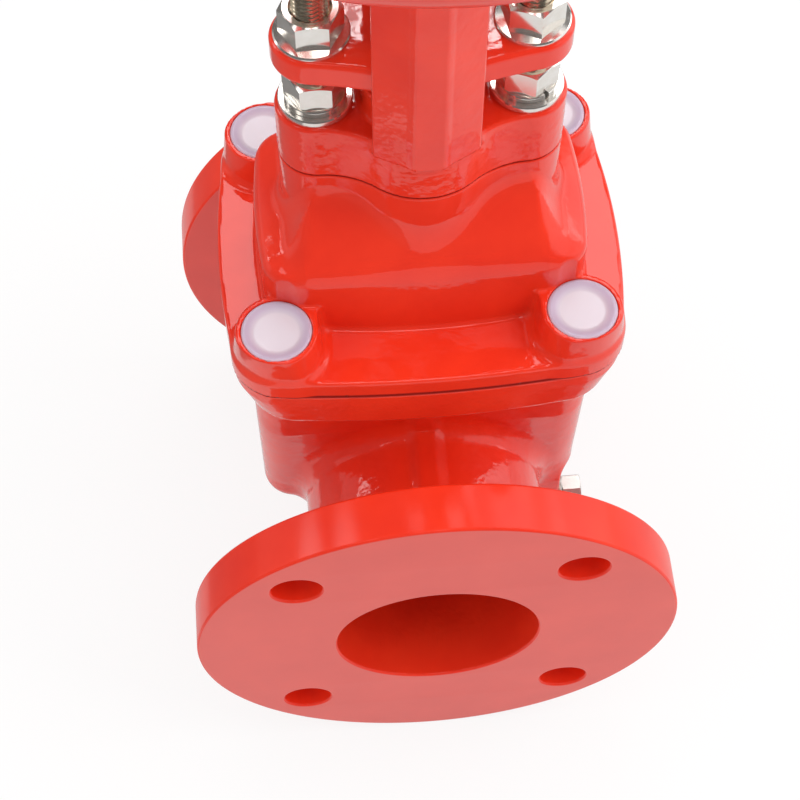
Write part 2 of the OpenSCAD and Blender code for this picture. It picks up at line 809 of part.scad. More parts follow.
// Plastic shoes that run on the ribs at both sides of the chamber
module wedge_guides() {
    color("#e9e4d2") placed() for (x = [-1, 1]) difference() {
        intersection() {
            translate([x > 0 ? wedge_r - 1 : -chamber_x, -guide_w - 5, ear_low - 3])
                cube([guide_room + 1, 2 * guide_w + 10, ear_high - ear_low + 6]);
            along_pipe() linear_extrude(4 * guide_w + 20, center = true) chamber_outline(1);
        }
        wedge_disc(wedge_r + gap, -gap);
        wedge_casting(fit);
        translate([x * chamber_x, 0, 0])
            cube([12, 2 * guide_w + 2 * gap, 200], center = true);
    }
}

module lower_thrust_washer() {
    color("#b8893a") placed() translate([0, 0, thrust_foot]) ring(nut_collar_r, sleeve_r + gap, thrust_t);
}

module upper_thrust_washer() {
    color("#b8893a") placed() translate([0, 0, upper_thrust_z]) ring(nut_collar_r, sleeve_r + gap, thrust_t);
}

module stem_nut() {
    color("#c9a13c") placed() difference() {
        union() {
            translate([0, 0, head_foot]) cylinder(r = sleeve_r, h = nut_top - head_foot);
            translate([0, 0, nut_collar_z]) cylinder(r = nut_collar_r, h = collar_h - fit);
        }
        translate([0, 0, head_foot - over]) cylinder(r = stem_r + fit, h = nut_top);
        translate([-key_w / 2 - fit, -sleeve_r - over, hub_foot + 2])
            cube([key_w + 2 * fit, over + 2.5, key_len + 2 * fit]);
    }
}

module head_cap() {
    color("#dc3021") placed() difference() {
        union() {
            translate([0, 0, cap_foot + fit]) cylinder(r = nut_collar_r + 0.5 - fit, h = cap_spigot);
            translate([0, 0, head_top]) cylinder(r = head_r, h = cap_plate_t - 1);
            translate([0, 0, head_top + cap_plate_t - 1])
                cylinder(r1 = head_r, r2 = head_r - 1, h = 1);
        }
        translate([0, 0, cap_foot]) cylinder(r = sleeve_r + fit, h = head_h);
        at_cap_screws(cap_foot) cylinder(d = cap_screw_d + 2 * gap, h = head_h);
    }
}

module cap_screws() {
    color("#cfcbc2") placed() at_cap_screws(head_top - cap_screw_l) {
        cylinder(d = cap_screw_d, h = cap_screw_l + cap_plate_t);
        translate([0, 0, cap_screw_l + cap_plate_t]) difference() {
            cylinder(d = 1.7 * cap_screw_d, h = 0.6 * cap_screw_d);
            translate([0, 0, 0.25 * cap_screw_d]) hex_prism(0.6 * cap_screw_d, cap_screw_d);
        }
    }
}

module handwheel() {
    color("#d52b1f") placed() difference() {
        union() {
            translate([0, 0, rim_z]) rotate_extrude($fn = 96)
                translate([rim_r, 0]) circle(d = rim_t, $fn = 32);
            translate([0, 0, hub_foot]) cylinder(r = hub_r, h = hub_h);
            for (i = [0 : spoke_n - 1]) rotate(90 + i * 360 / spoke_n)
                translate([hub_r - 4, 0, rim_z]) rotate([0, 90, 0])
                    cylinder(d1 = 0.85 * rim_t, d2 = 0.65 * rim_t, h = rim_r - hub_r + 4);
        }
        translate([0, 0, hub_foot - over]) cylinder(r = sleeve_r + fit, h = hub_h + 2 * over);
        translate([-key_w / 2 - fit, -sleeve_r - 3, hub_foot - over])
            cube([key_w + 2 * fit, sleeve_r, hub_h + 2 * over]);
    }
}

module wheel_key() {
    color("#8a8a8c") placed() translate([-key_w / 2, -sleeve_r - 2.9, hub_foot + 2])
        cube([key_w, 5.3, key_len]);
}

module wheel_washer() {
    color("#cfcbc2") placed() translate([0, 0, hub_top]) ring(hub_r, sleeve_r + fit, wheel_washer_t);
}

module wheel_nut() {
    color("#c9a13c") placed() translate([0, 0, hub_top + wheel_washer_t])
        hex_nut(wheel_nut_af, wheel_nut_h, 2 * (sleeve_r + fit));
}

valve_body();
bonnet();
bonnet_gasket();
bonnet_screws();
screw_caps();
drain_plug();
plug_washer();
yoke();
yoke_seal();
back_seat_bush();
packing_rings();
gland_bush();
gland_plate();
gland_studs();
base_washers();
spring_washers();
base_nuts();
gland_nuts();
stem();
wedge_core();
wedge_rubber();
wedge_guides();
wedge_nut();
stem_pin();
stem_nut();
lower_thrust_washer();
upper_thrust_washer();
head_cap();
cap_screws();
handwheel();
wheel_key();
wheel_washer();
wheel_nut();
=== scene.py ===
import math
from functools import partial

import bmesh
import bpy
import numpy as np
import openvdb
from mathutils import Matrix, Vector


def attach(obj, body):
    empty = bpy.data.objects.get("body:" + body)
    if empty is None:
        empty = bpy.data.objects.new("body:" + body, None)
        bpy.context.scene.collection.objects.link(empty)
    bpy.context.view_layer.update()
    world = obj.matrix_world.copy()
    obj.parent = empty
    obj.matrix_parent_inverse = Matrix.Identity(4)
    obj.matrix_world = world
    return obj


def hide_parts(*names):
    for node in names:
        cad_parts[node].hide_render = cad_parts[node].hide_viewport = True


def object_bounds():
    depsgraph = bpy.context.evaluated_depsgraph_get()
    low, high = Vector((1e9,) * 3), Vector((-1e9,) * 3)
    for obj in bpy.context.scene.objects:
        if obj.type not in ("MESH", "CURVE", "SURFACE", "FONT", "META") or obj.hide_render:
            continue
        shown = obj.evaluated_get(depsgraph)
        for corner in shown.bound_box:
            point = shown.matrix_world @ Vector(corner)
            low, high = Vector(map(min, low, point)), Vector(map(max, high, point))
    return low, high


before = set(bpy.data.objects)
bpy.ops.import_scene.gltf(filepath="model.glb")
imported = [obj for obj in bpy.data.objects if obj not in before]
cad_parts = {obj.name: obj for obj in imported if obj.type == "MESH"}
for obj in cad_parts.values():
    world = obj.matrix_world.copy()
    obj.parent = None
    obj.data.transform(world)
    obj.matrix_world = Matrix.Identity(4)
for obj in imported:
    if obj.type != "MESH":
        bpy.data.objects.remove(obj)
cadLow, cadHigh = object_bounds()
print("frame loaded:", len(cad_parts), "nodes")

bpy.context.scene.view_settings.view_transform = "Standard"
mm = 0.001
inletY = 101.6  # the castings are worked out about the waterway centre, this far behind the inlet face

# camera: solved from the flange rims, the bolt holes and the screw caps of the photograph
cameraView = {"azimuth": -5.25, "elevation": 60.02, "roll": 0.28, "distance": 0.7875,
              "target": (-0.00638, 0.1016, 0.01385), "lens": 84.96, "sensor": 36.0}


def addCamera(v):
    az, el, roll = (math.radians(v[k]) for k in ("azimuth", "elevation", "roll"))
    back = Vector((math.sin(az) * math.cos(el), -math.cos(az) * math.cos(el), math.sin(el)))
    right = Vector((math.cos(az), math.sin(az), 0))
    up = back.cross(right)
    x = right * math.cos(roll) + up * math.sin(roll)
    y = up * math.cos(roll) - right * math.sin(roll)
    data = bpy.data.cameras.new("viewer")
    data.lens = v["lens"]
    data.sensor_width = v["sensor"]
    data.clip_start = 0.01
    data.clip_end = 50
    camera = bpy.data.objects.new("viewer", data)
    turn = Matrix((x, y, back)).transposed().to_4x4()
    camera.matrix_world = Matrix.Translation(Vector(v["target"]) + back * v["distance"]) @ turn
    bpy.context.collection.objects.link(camera)
    bpy.context.scene.camera = camera


addCamera(cameraView)


# nodes: an input takes a value or, where a node or a socket is given, a link
def feed(tree, node, inputs):
    for label, value in inputs.items():
        if isinstance(value, bpy.types.Node):
            value = value.outputs[0]
        if isinstance(value, bpy.types.NodeSocket):
            tree.links.new(value, node.inputs[label])
        else:
            node.inputs[label].default_value = value


def addNode(tree, kind, inputs=None, **settings):
    node = tree.nodes.new(kind)
    for label, value in settings.items():
        setattr(node, label, value)
    feed(tree, node, inputs or {})
    return node


def maths(tree, operation, *values):
    return addNode(tree, "ShaderNodeMath", dict(enumerate(values)), operation=operation)


def objectPlace(tree):
    return addNode(tree, "ShaderNodeTexCoord").outputs["Object"]


def parted(tree, place):  # the X, Y and Z of a place
    return addNode(tree, "ShaderNodeSeparateXYZ", {0: place}).outputs


def newMaterial(name, looks):
    mat = bpy.data.materials.new(name)
    mat.use_nodes = True
    shade = mat.node_tree.nodes["Principled BSDF"]
    feed(mat.node_tree, shade, looks)
    mat.diffuse_color = looks["Base Color"]
    return mat, mat.node_tree, shade


# studio: white floor and surround; what the gloss reflects is a dark room with a few bright patches
# a patch: its direction, the cosines where it is full and gone, and its power
studio = {"soft": 0.72, "softColour": (1, 0.985, 0.975, 1), "room": 0.10,
          "floorHalf": 6.0, "floorGap": 0.0005, "floorWhite": 0.9, "floorKeep": 0.16, "floorGloss": 0.72,
          "sheetEdge": (-0.216, -0.208), "beyond": 0.05,
          "patches": [((0.06, 0.53, 0.85), 0.985, 0.955, 4.5), ((0.92, -0.05, 0.38), 0.93, 0.80, 1.1),
                      ((-0.95, 0.30, 0.10), 0.97, 0.86, 0.55), ((-0.50, -0.20, 0.84), 0.996, 0.985, 2.5),
                      ((-0.80, 0.36, 0.47), 0.996, 0.992, 5.0), ((-0.62, 0.36, 0.70), 0.996, 0.992, 5.0),
                      ((0.45, 0.34, 0.82), 0.99, 0.98, 1.5), ((0.72, 0.36, 0.59), 0.985, 0.97, 1.5),
                      ((0.88, 0.42, 0.22), 0.97, 0.94, 1.5), ((0.55, 0.45, 0.70), 0.995, 0.98, 1.8),
                      ((0.073, 0.65, 0.757), 0.9993, 0.9987, 14.0), ((0.0, -0.34, 0.94), 0.99, 0.975, 4.0)],
          "lamps": [("rightLamp", (0.95, -0.15, 1.05), 0.9, 9.0), ("leftLamp", (-1.1, -0.2, 0.8), 0.8, 3.0),
                    ("topLamp", (0.0, 0.4, 1.5), 0.9, 6.0)],
          "lampAim": (0, 0.1, 0.12)}


def addPatch(tree, way, aim, full, none, power):
    length = math.sqrt(sum(c * c for c in aim))
    towards = addNode(tree, "ShaderNodeVectorMath", {0: way, 1: [c / length for c in aim]},
                      operation="DOT_PRODUCT").outputs["Value"]
    return addNode(tree, "ShaderNodeMapRange", {"Value": towards, "From Min": none, "From Max": full,
                                                "To Max": power}, interpolation_type="SMOOTHSTEP")


def addStudio(v):
    world = bpy.data.worlds.new("surround")
    bpy.context.scene.world = world
    world.use_nodes = True
    tree = world.node_tree
    soft = tree.nodes["Background"]
    feed(tree, soft, {"Color": v["softColour"], "Strength": v["soft"]})
    way = addNode(tree, "ShaderNodeTexCoord").outputs["Generated"]
    level = v["room"]
    for patch in v["patches"]:
        level = maths(tree, "ADD", addPatch(tree, way, *patch), level)
    room = addNode(tree, "ShaderNodeBackground", {"Strength": level})
    plain = addNode(tree, "ShaderNodeBackground", {"Color": (1, 1, 1, 1)})
    rays = addNode(tree, "ShaderNodeLightPath").outputs
    gloss = addNode(tree, "ShaderNodeMixShader", {"Fac": rays["Is Glossy Ray"], 1: soft, 2: room})
    mix = addNode(tree, "ShaderNodeMixShader", {"Fac": rays["Is Camera Ray"], 1: gloss, 2: plain})
    feed(tree, tree.nodes["World Output"], {"Surface": mix})
    for name, spot, size, power in v["lamps"]:
        data = bpy.data.lights.new(name, "AREA")
        data.shape = "SQUARE"
        data.size = size
        data.energy = power
        lamp = bpy.data.objects.new(name, data)
        lamp.location = spot
        aim = Vector(v["lampAim"]) - Vector(spot)
        lamp.rotation_mode = "QUATERNION"
        lamp.rotation_quaternion = aim.to_track_quat("-Z", "Y")
        lamp.visible_glossy = False
        bpy.context.collection.objects.link(lamp)


def addFloor(v):
    half, level = v["floorHalf"], cadLow.z - v["floorGap"]
    mesh = bpy.data.meshes.new("floor")
    mesh.from_pydata([(-half, -half, level), (half, -half, level), (half, half, level), (-half, half, level)],
                     [], [(0, 1, 2, 3)])
    floor = bpy.data.objects.new("floor", mesh)
    bpy.context.collection.objects.link(floor)
    white = (v["floorWhite"],) * 3 + (1,)
    mat, tree, shade = newMaterial("paleFloor", {"Base Color": white, "Roughness": 0.9,
                                                 "Specular IOR Level": 0})
    # the gloss sees a pale sheet that ends on the left, the camera an almost plain white floor
    rays = addNode(tree, "ShaderNodeLightPath").outputs
    start, end = v["sheetEdge"]
    sheet = addNode(tree, "ShaderNodeMapRange", {
        "Value": parted(tree, objectPlace(tree))["X"], "From Min": start, "From Max": end,
        "To Min": v["beyond"] - 1, "To Max": v["floorGloss"] - 1})
    strength = maths(tree, "MULTIPLY_ADD", rays["Is Glossy Ray"], sheet, 1)
    glow = addNode(tree, "ShaderNodeEmission", {"Color": (1, 1, 1, 1), "Strength": strength})
    either = maths(tree, "MAXIMUM", rays["Is Camera Ray"], rays["Is Glossy Ray"])
    mix = addNode(tree, "ShaderNodeMixShader", {"Fac": maths(tree, "MULTIPLY", either, 1 - v["floorKeep"]),
                                                1: shade, 2: glow})
    feed(tree, tree.nodes["Material Output"], {"Surface": mix})
    mesh.materials.append(mat)


addStudio(studio)
addFloor(studio)
print("camera, lamps and floor placed")


# distance fields: negative inside, millimetres, about the waterway centre
def roundJoin(a, b, r):  # union with a hollow fillet
    u, v = np.maximum(r - a, 0), np.maximum(r - b, 0)
    return np.maximum(r, np.minimum(a, b)) - np.sqrt(u * u + v * v)


def roundMeet(a, b, r):  # intersection with a rounded edge
    u, v = np.maximum(r + a, 0), np.maximum(r + b, 0)
    return np.minimum(-r, np.maximum(a, b)) + np.sqrt(u * u + v * v)


def roundCut(a, b, r):  # a with b taken out, the edge rounded
    return roundMeet(a, -b, r)


def slab(t, low, high):
    return np.abs(t - (low + high) / 2) - (high - low) / 2


def rodDistance(u, v, r):
    return np.sqrt(u * u + v * v) - r


def plateDistance(u, v, hu, hv, r):  # rounded rectangle
    du, dv = np.abs(u) - hu + r, np.abs(v) - hv + r
    return np.minimum(np.maximum(du, dv), 0) + np.hypot(np.maximum(du, 0), np.maximum(dv, 0)) - r


def outlineDistance(u, v, points):  # closed outline of straight pieces
    best = np.full(np.broadcast(u, v).shape, 1e9)
    inside = np.zeros(best.shape, bool)
    n = len(points)
    for i in range(n):
        ax, ay = points[i]
        bx, by = points[(i + 1) % n]
        ex, ey = bx - ax, by - ay
        along = np.clip(((u - ax) * ex + (v - ay) * ey) / (ex * ex + ey * ey), 0, 1)
        best = np.minimum(best, (u - ax - ex * along) ** 2 + (v - ay - ey * along) ** 2)
        if ay != by:
            crosses = ((ay > v) != (by > v)) & (u < ex * (v - ay) / ey + ax)
            inside = inside ^ crosses
    return np.where(inside, -1, 1) * np.sqrt(best)


def fourWay(quarter):  # a quarter outline from +X to +Y, mirrored round
    n = len(quarter) - 1
    return (quarter[:n] + [(-x, y) for x, y in quarter[n:0:-1]]
            + [(-x, -y) for x, y in quarter[:n]] + [(x, -y) for x, y in quarter[n:0:-1]])


def bulgedDistance(u, v, hw, hd, cx, cy, rc):  # bulging sides that run tangent into round corners
    rs = (rc * rc - (cx - hw) ** 2 - cy * cy) / (2 * (cx - hw + rc))
    rf = (rc * rc - (cy - hd) ** 2 - cx * cx) / (2 * (cy - hd + rc))
    au, av = np.abs(u), np.abs(v)
    side = np.hypot(au - hw + rs, av) - rs
    front = np.hypot(au, av - hd + rf) - rf
    corner = np.hypot(au - cx, av - cy) - rc
    below = cy * (au - hw + rs) > (cx - hw + rs) * av
    above = cx * (av - hd + rf) > (cy - hd + rf) * au
    return np.where(below, np.where(above, np.maximum(side, front), side), np.where(above, front, corner))


def lobedDistance(u, v, rc, rl, d, rf):  # a collar with a lobe on each side, hollows between them
    lobe = np.hypot(np.abs(u) - d, v) - rl
    collar = np.hypot(u, v) - rc
    fx = ((rc + rf) ** 2 - (rl + rf) ** 2 + d * d) / (2 * d)
    fy = math.sqrt((rc + rf) ** 2 - fx * fx)
    au, av = np.abs(u), np.abs(v)
    hollow = rf - np.hypot(au - fx, av - fy)
    # the hollow counts between the lines from its centre to the lobe and to the collar
    pastLobe = (au - fx) * (0 - fy) - (av - fy) * (d - fx)
    pastCollar = (au - fx) * (0 - fy) - (av - fy) * (0 - fx)
    inHollow = (pastLobe > 0) & (pastCollar < 0)
    return np.where(inHollow, np.maximum(hollow, -50), np.minimum(lobe, collar))


def slopeOf(field, p, h=0.02):
    steps = np.eye(3) * h
    return np.stack([field(*(p + d).T) - field(*(p - d).T) for d in steps], axis=1) / (2 * h)


def ontoField(field, p, reach):
    for _ in range(4):
        g = slopeOf(field, p)
        move = -field(*p.T) / np.maximum((g * g).sum(1), 0.05)
        p = p + g * np.clip(move, -reach, reach)[:, None]
    return p


def normalsOf(field, p):
    g = slopeOf(field, p, 0.05)
    return g / np.maximum(np.linalg.norm(g, axis=1), 1e-9)[:, None]


# a casting from its distance field: surface points moved onto the exact form, with its own normals
def castShell(field, v):
    (low, high), cell = v["box"], v["cell"]
    counts = [int(round((h - l) / cell)) + 1 for l, h in zip(low, high)]
    xs, ys, zs = (l + cell * np.arange(n) for l, n in zip(low, counts))
    values = np.broadcast_to(field(xs[:, None, None], ys[None, :, None], zs[None, None, :]), counts)
    band = 3 * cell
    grid = openvdb.FloatGrid(background=band)
    grid.copyFromArray(np.clip(values, -band, band).astype(np.float32))
    points, triangles, quads = grid.convertToPolygons(isovalue=0.0, adaptivity=0.0)
    p = ontoField(field, np.array(low) + cell * np.asarray(points, float), 0.6 * cell)
    normals = normalsOf(field, p)
    faces = [tuple(map(int, f)) for f in quads] + [tuple(map(int, f)) for f in triangles]
    some = np.array([face[:3] for face in faces[:2000]])  # enough faces to tell which way they all point
    turn = np.cross(p[some[:, 1]] - p[some[:, 0]], p[some[:, 2]] - p[some[:, 0]])
    if (turn * normals[some[:, 0]]).sum() < 0:
        faces = [face[::-1] for face in faces]
    return p, faces, normals


# one plain object from several shells, millimetres about the waterway centre
def addPiece(name, shells):
    points, faces, normals = [], [], []
    start = 0
    for p, f, n in shells:
        points.append(p)
        normals.append(n)
        faces += [tuple(v + start for v in face) for face in f]
        start += len(p)
    spots = (np.concatenate(points) + (0, inletY, 0)) * mm
    mesh = bpy.data.meshes.new(name)
    mesh.from_pydata(spots.tolist(), [], faces)
    mesh.shade_smooth()
    mesh.normals_split_custom_set_from_vertices(np.concatenate(normals).tolist())
    return linked(name, mesh)


def linked(name, mesh):
    piece = bpy.data.objects.new(name, mesh)
    bpy.context.collection.objects.link(piece)
    print(name, len(mesh.polygons), "faces")
    return piece


def place(piece, owner, slot, materials, node):
    if piece.data.materials:  # clearing would also undo which face has which material
        piece.data.materials.clear()
    for material in materials:
        piece.data.materials.append(material)
    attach(piece, owner)
    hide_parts(node)


# flat plate with round holes: a filled outline with a bevelled edge, rising from low to high, then turned
def plateShell(outline, holes, low, high, bevel, field, turn):
    curve = bpy.data.curves.new("plateOutline", "CURVE")
    curve.dimensions = "2D"
    curve.fill_mode = "BOTH"
    for ring in [outline] + holes:
        spline = curve.splines.new("POLY")
        spline.points.add(len(ring) - 1)
        for point, (x, y) in zip(spline.points, ring):
            point.co = (x, y, 0, 1)
        spline.use_cyclic_u = True
    curve.offset = -bevel
    curve.bevel_depth = bevel
    curve.bevel_resolution = 3
    curve.extrude = (high - low) / 2 - bevel
    outlineObject = bpy.data.objects.new("plateOutline", curve)
    bpy.context.collection.objects.link(outlineObject)
    mesh = bpy.data.meshes.new_from_object(outlineObject)
    bpy.data.objects.remove(outlineObject)
    p = (np.array([v.co for v in mesh.vertices], float) + (0, 0, (low + high) / 2)) @ turn
    faces = [tuple(f.vertices) for f in mesh.polygons]
    bpy.data.meshes.remove(mesh)
    return p, faces, normalsOf(field, p)


pastEnd = 1.2  # a draft or a lean runs on to this many times its own length

# body: upright barrel over a round bowl, two necks, a flange on top and two pipe flanges
body = {"neck": 48, "neckIn": 4, "neckJoin": 8, "bore": 40, "boreEnd": 120, "boreEdge": 0.6,
        "flangeR": 95.25, "flangeBack": 82.55, "faceY": 101.6, "flangeEdge": 1.2, "flangeFillet": 9,
        "discR": 70, "disc": (-0.05, 6), "boltR": {-1: 9.5, 1: 9.7}, "boltCircle": 152.4,
        "steps": (192, 128, 48),  # round the flange, the bore and a bolt hole
        "barrelX": 65, "barrelY": 33.2, "frontY": 28.8, "corner": 12, "barrelFloor": -16.5, "floorEdge": 10.5,
        "barrelIn": 4, "bowl": 56, "bowlTop": 20, "bowlJoin": 4, "taper": 5, "taperScale": 0.996,
        "chamber": (57.5, 25.7, 4), "chamberFloor": -9, "chamberTop": 140, "well": 48.5, "wedgeHalf": 21.3,
        "wedgeTop": 52, "floor": 102.5, "top": 121.5, "joint": (73, 60, 51.7, 39, 18), "edge": 1.6,
        "lip": 6, "draft": 4.5, "flare": 9, "ribW": 9, "ribZ": 50, "ribR": 2.5, "ribY": 35.2, "ribIn": 3,
        "ribRise": (10, 104.5), "ribJoin": 4, "bossAt": (-19.6, -39), "bossR": 9.5, "bossRise": 12,
        "bossX": (30, 59.5), "bossEdge": 1, "bossJoin": 3, "box": ((-77, -89, -70), (77, 89, 124.5)),
        "cell": 1.25}


def bodyField(x, y, z):
    v = body
    ay = np.abs(y)
    neck = np.maximum(rodDistance(x, z, v["neck"]), ay - v["flangeBack"] - v["neckIn"])
    discLow, discHigh = (v["flangeBack"] + t for t in v["disc"])
    disc = np.maximum(rodDistance(x, z, v["discR"]), slab(ay, discLow, discHigh))
    ends = roundJoin(neck, disc, v["flangeFillet"])
    slope = math.tan(math.radians(v["taper"]))
    thin = v["barrelY"] - v["frontY"] - np.clip(z * slope, 0, v["barrelY"] - v["frontY"])
    barrel = plateDistance(x, ay + thin, v["barrelX"], v["barrelY"], v["corner"])
    barrel = roundMeet(barrel, v["barrelFloor"] - z, v["floorEdge"])
    barrel = np.maximum(barrel, z - v["floor"] - v["barrelIn"])
    bowl = plateDistance(np.hypot(x, z), y, v["bowl"], v["frontY"], v["corner"])
    bowl = np.maximum(bowl, z - v["bowlTop"])
    shape = roundJoin(ends, roundJoin(barrel, bowl, v["bowlJoin"]), v["neckJoin"])
    drafted = v["top"] - v["lip"] - v["floor"]
    inset = v["draft"] * np.clip((v["top"] - v["lip"] - z) / drafted, 0, pastEnd)
    joint = bulgedDistance(np.abs(x) + inset, y, *v["joint"])
    joint = roundMeet(joint, slab(z, v["floor"], v["top"]), v["edge"])
    shape = roundJoin(shape, joint, v["flare"])
    rib = plateDistance(x, z - v["ribZ"] / 2, v["ribW"] / 2, v["ribZ"] / 2, v["ribR"])
    rib = np.maximum(rib, ay - v["flangeBack"] - v["ribIn"])
    upright = np.maximum(plateDistance(x, y, v["ribW"] / 2, v["ribY"], v["ribR"]), slab(z, *v["ribRise"]))
    shape = roundJoin(shape, np.minimum(rib, upright), v["ribJoin"])
    bossY, bossZ = v["bossAt"]
    r, rise = v["bossR"], v["bossRise"]
    boss = plateDistance(y - bossY, z - bossZ - rise, r, r + rise, r)
    shape = roundJoin(shape, roundMeet(boss, slab(x, *v["bossX"]), v["bossEdge"]), v["bossJoin"])
    shape = roundCut(shape, np.maximum(rodDistance(x, z, v["bore"]), ay - v["boreEnd"]), v["boreEdge"])
    tapered = (ay - v["wedgeHalf"] - np.minimum(z, v["wedgeTop"]) * slope) * v["taperScale"]
    room = np.maximum(plateDistance(x, y, *v["chamber"]), v["chamberFloor"] - z)
    room = np.minimum(room, rodDistance(x, z, v["well"]))
    return np.maximum(shape, -np.maximum(np.maximum(room, tapered), z - v["chamberTop"]))


def pipeFlangeField(x, y, z):
    v = body
    ay = np.abs(y)
    boltR = np.where(y < 0, v["boltR"][-1], v["boltR"][1])
    disc = rodDistance(x, z, v["flangeR"])
    disc = roundMeet(disc, slab(ay, v["flangeBack"], v["faceY"]), v["flangeEdge"])
    disc = roundCut(disc, rodDistance(x, z, v["bore"]), v["flangeEdge"])
    reach = v["boltCircle"] / 2 * math.sqrt(0.5)
    return roundCut(disc, rodDistance(np.abs(x) - reach, np.abs(z) - reach, boltR), v["flangeEdge"])


def circlePoints(x, y, r, n):
    return [(x + r * math.cos(2 * math.pi * i / n), y + r * math.sin(2 * math.pi * i / n)) for i in range(n)]


def addBody(v):
    reach = v["boltCircle"] / 2 * math.sqrt(0.5)
    rimSteps, boreSteps, holeSteps = v["steps"]
    shells = [castShell(bodyField, v)]
    for way in (-1, 1):
        holes = [circlePoints(sx * reach, sz * reach, v["boltR"][way], holeSteps)
                 for sx in (-1, 1) for sz in (-1, 1)]
        holes.append(circlePoints(0, 0, v["bore"], boreSteps))
        turn = np.array([[-way, 0, 0], [0, 0, 1], [0, way, 0]])
        rim = circlePoints(0, 0, v["flangeR"], rimSteps)
        shells.append(plateShell(rim, holes, v["flangeBack"], v["faceY"], v["flangeEdge"],
                                 pipeFlangeField, turn))
    piece = addPiece("bodyCasting", shells)
    cast = len(shells[0][1])  # the pipe flanges take the second, smooth material and their faces the third
    kinds = [0 if i < cast else 2 if abs(f.normal.y) > 0.9 else 1 for i, f in enumerate(piece.data.polygons)]
    piece.data.polygons.foreach_set("material_index", kinds)
    return piece


# bonnet: flange, four bosses, dome with a sloping roof and a lobed neck
bonnet = {"foot": 121.5, "under": 2, "seat": 130, "edge": 1.3, "screwX": 53.3, "screwY": 43.4,
          "bossTop": 143.8, "bossR": 14.3, "bossFoot": 16, "bossEdge": 0.7, "bossJoin": 3.5,
          "stripEdge": 1, "capR": 12.4, "capSeat": 140.8, "capEdge": 0.3,
          "dome": (58.2, 38, 44.4, 21.2, 12.5), "domeJoin": 1.2, "wallTop": 157, "lean": 4.0,
          "leanHalf": 42, "roofRise": 23, "roofWidth": 22, "roofPower": 0.65, "leastWidth": 6,
          "sideDrop": 0.6, "sideFrom": 38, "sideOver": 12, "swell": 1.35, "roofEdge": 2.5,
          "web": (46, 36, 7, 8, 1), "webIn": 1.5, "webJoin": 5, "neck": (26, 13.5, 34.5, 30), "neckTop": 190,
          "neckEdge": 0.9, "neckJoin": 4.5, "wall": 7.5, "roofIn": 168, "boxR": 17, "boxFoot": 160,
          "box": ((-77, -64, 118.5), (77, 64, 193)), "cell": 1.0}


def domeWall(x, y, z):  # upright walls on a bulged outline, leaning back in the middle of the front
    v = bonnet
    climb = np.clip((z - v["seat"]) / (v["wallTop"] - v["seat"]), 0, pastEnd)
    return bulgedDistance(x, y, *v["dome"]) + v["lean"] * climb * np.maximum(1 - (x / v["leanHalf"]) ** 2, 0)


def domeField(x, y, z, ease=0):  # the roof climbs from the walls to the lobed neck
    v = bonnet
    wall = domeWall(x, y, z) + ease
    outside = np.maximum(lobedDistance(x, y, *v["neck"]), 0)
    width = np.maximum(-wall, 0) + outside + 0.01
    side = np.clip((np.abs(x) - v["sideFrom"]) / v["sideOver"], 0, 1)
    rise = v["roofRise"] * np.minimum(width / v["roofWidth"], 1) ** v["roofPower"]
    rise = rise * (1 - v["sideDrop"] * side * side * (3 - 2 * side))
    roof = v["wallTop"] - ease + rise * (1 - (1 - np.clip(-wall / width, 0, 1)) ** v["swell"])
    return roundMeet(wall, (z - roof) / np.hypot(1, rise / np.maximum(width, v["leastWidth"])), v["roofEdge"])


def bonnetField(x, y, z):
    v = bonnet
    neck = roundMeet(lobedDistance(x, y, *v["neck"]), slab(z, v["foot"], v["neckTop"]), v["neckEdge"])
    shape = roundJoin(domeField(x, y, z), neck, v["neckJoin"])
    rim = bulgedDistance(x, y, *body["joint"])
    flange = roundMeet(rim, slab(z, v["foot"] - v["under"], v["seat"]), v["edge"])
    drop = np.clip((v["bossTop"] - z) / (v["bossTop"] - v["seat"]), 0, pastEnd)
    wider = (v["bossFoot"] - v["bossR"]) * drop
    recess = np.hypot(np.abs(x) - v["screwX"], np.abs(y) - v["screwY"])
    webX, webY, webW, webD, webR = v["web"]  # a web runs from each boss back into the dome
    web = plateDistance(np.abs(x) - webX, np.abs(y) - webY, webW, webD, webR) - wider
    boss = np.minimum(recess - (v["bossR"] + wider), web)
    boss = roundJoin(boss, domeWall(x, y, z) + v["webIn"], v["webJoin"])
    boss = roundMeet(boss, rim, v["stripEdge"])
    boss = roundMeet(boss, slab(z, v["foot"], v["bossTop"]), v["bossEdge"])
    shape = roundJoin(roundJoin(flange, boss, v["bossJoin"]), shape, v["domeJoin"])
    shape = np.maximum(shape, v["foot"] - z)
    shape = roundCut(shape, np.maximum(recess - v["capR"], v["capSeat"] - z), v["capEdge"])
    hollow = np.maximum(domeField(x, y, z, v["wall"]), z - v["roofIn"])
    shape = np.maximum(shape, -hollow)
    return np.maximum(shape, -np.maximum(rodDistance(x, y, v["boxR"]), v["boxFoot"] - z))


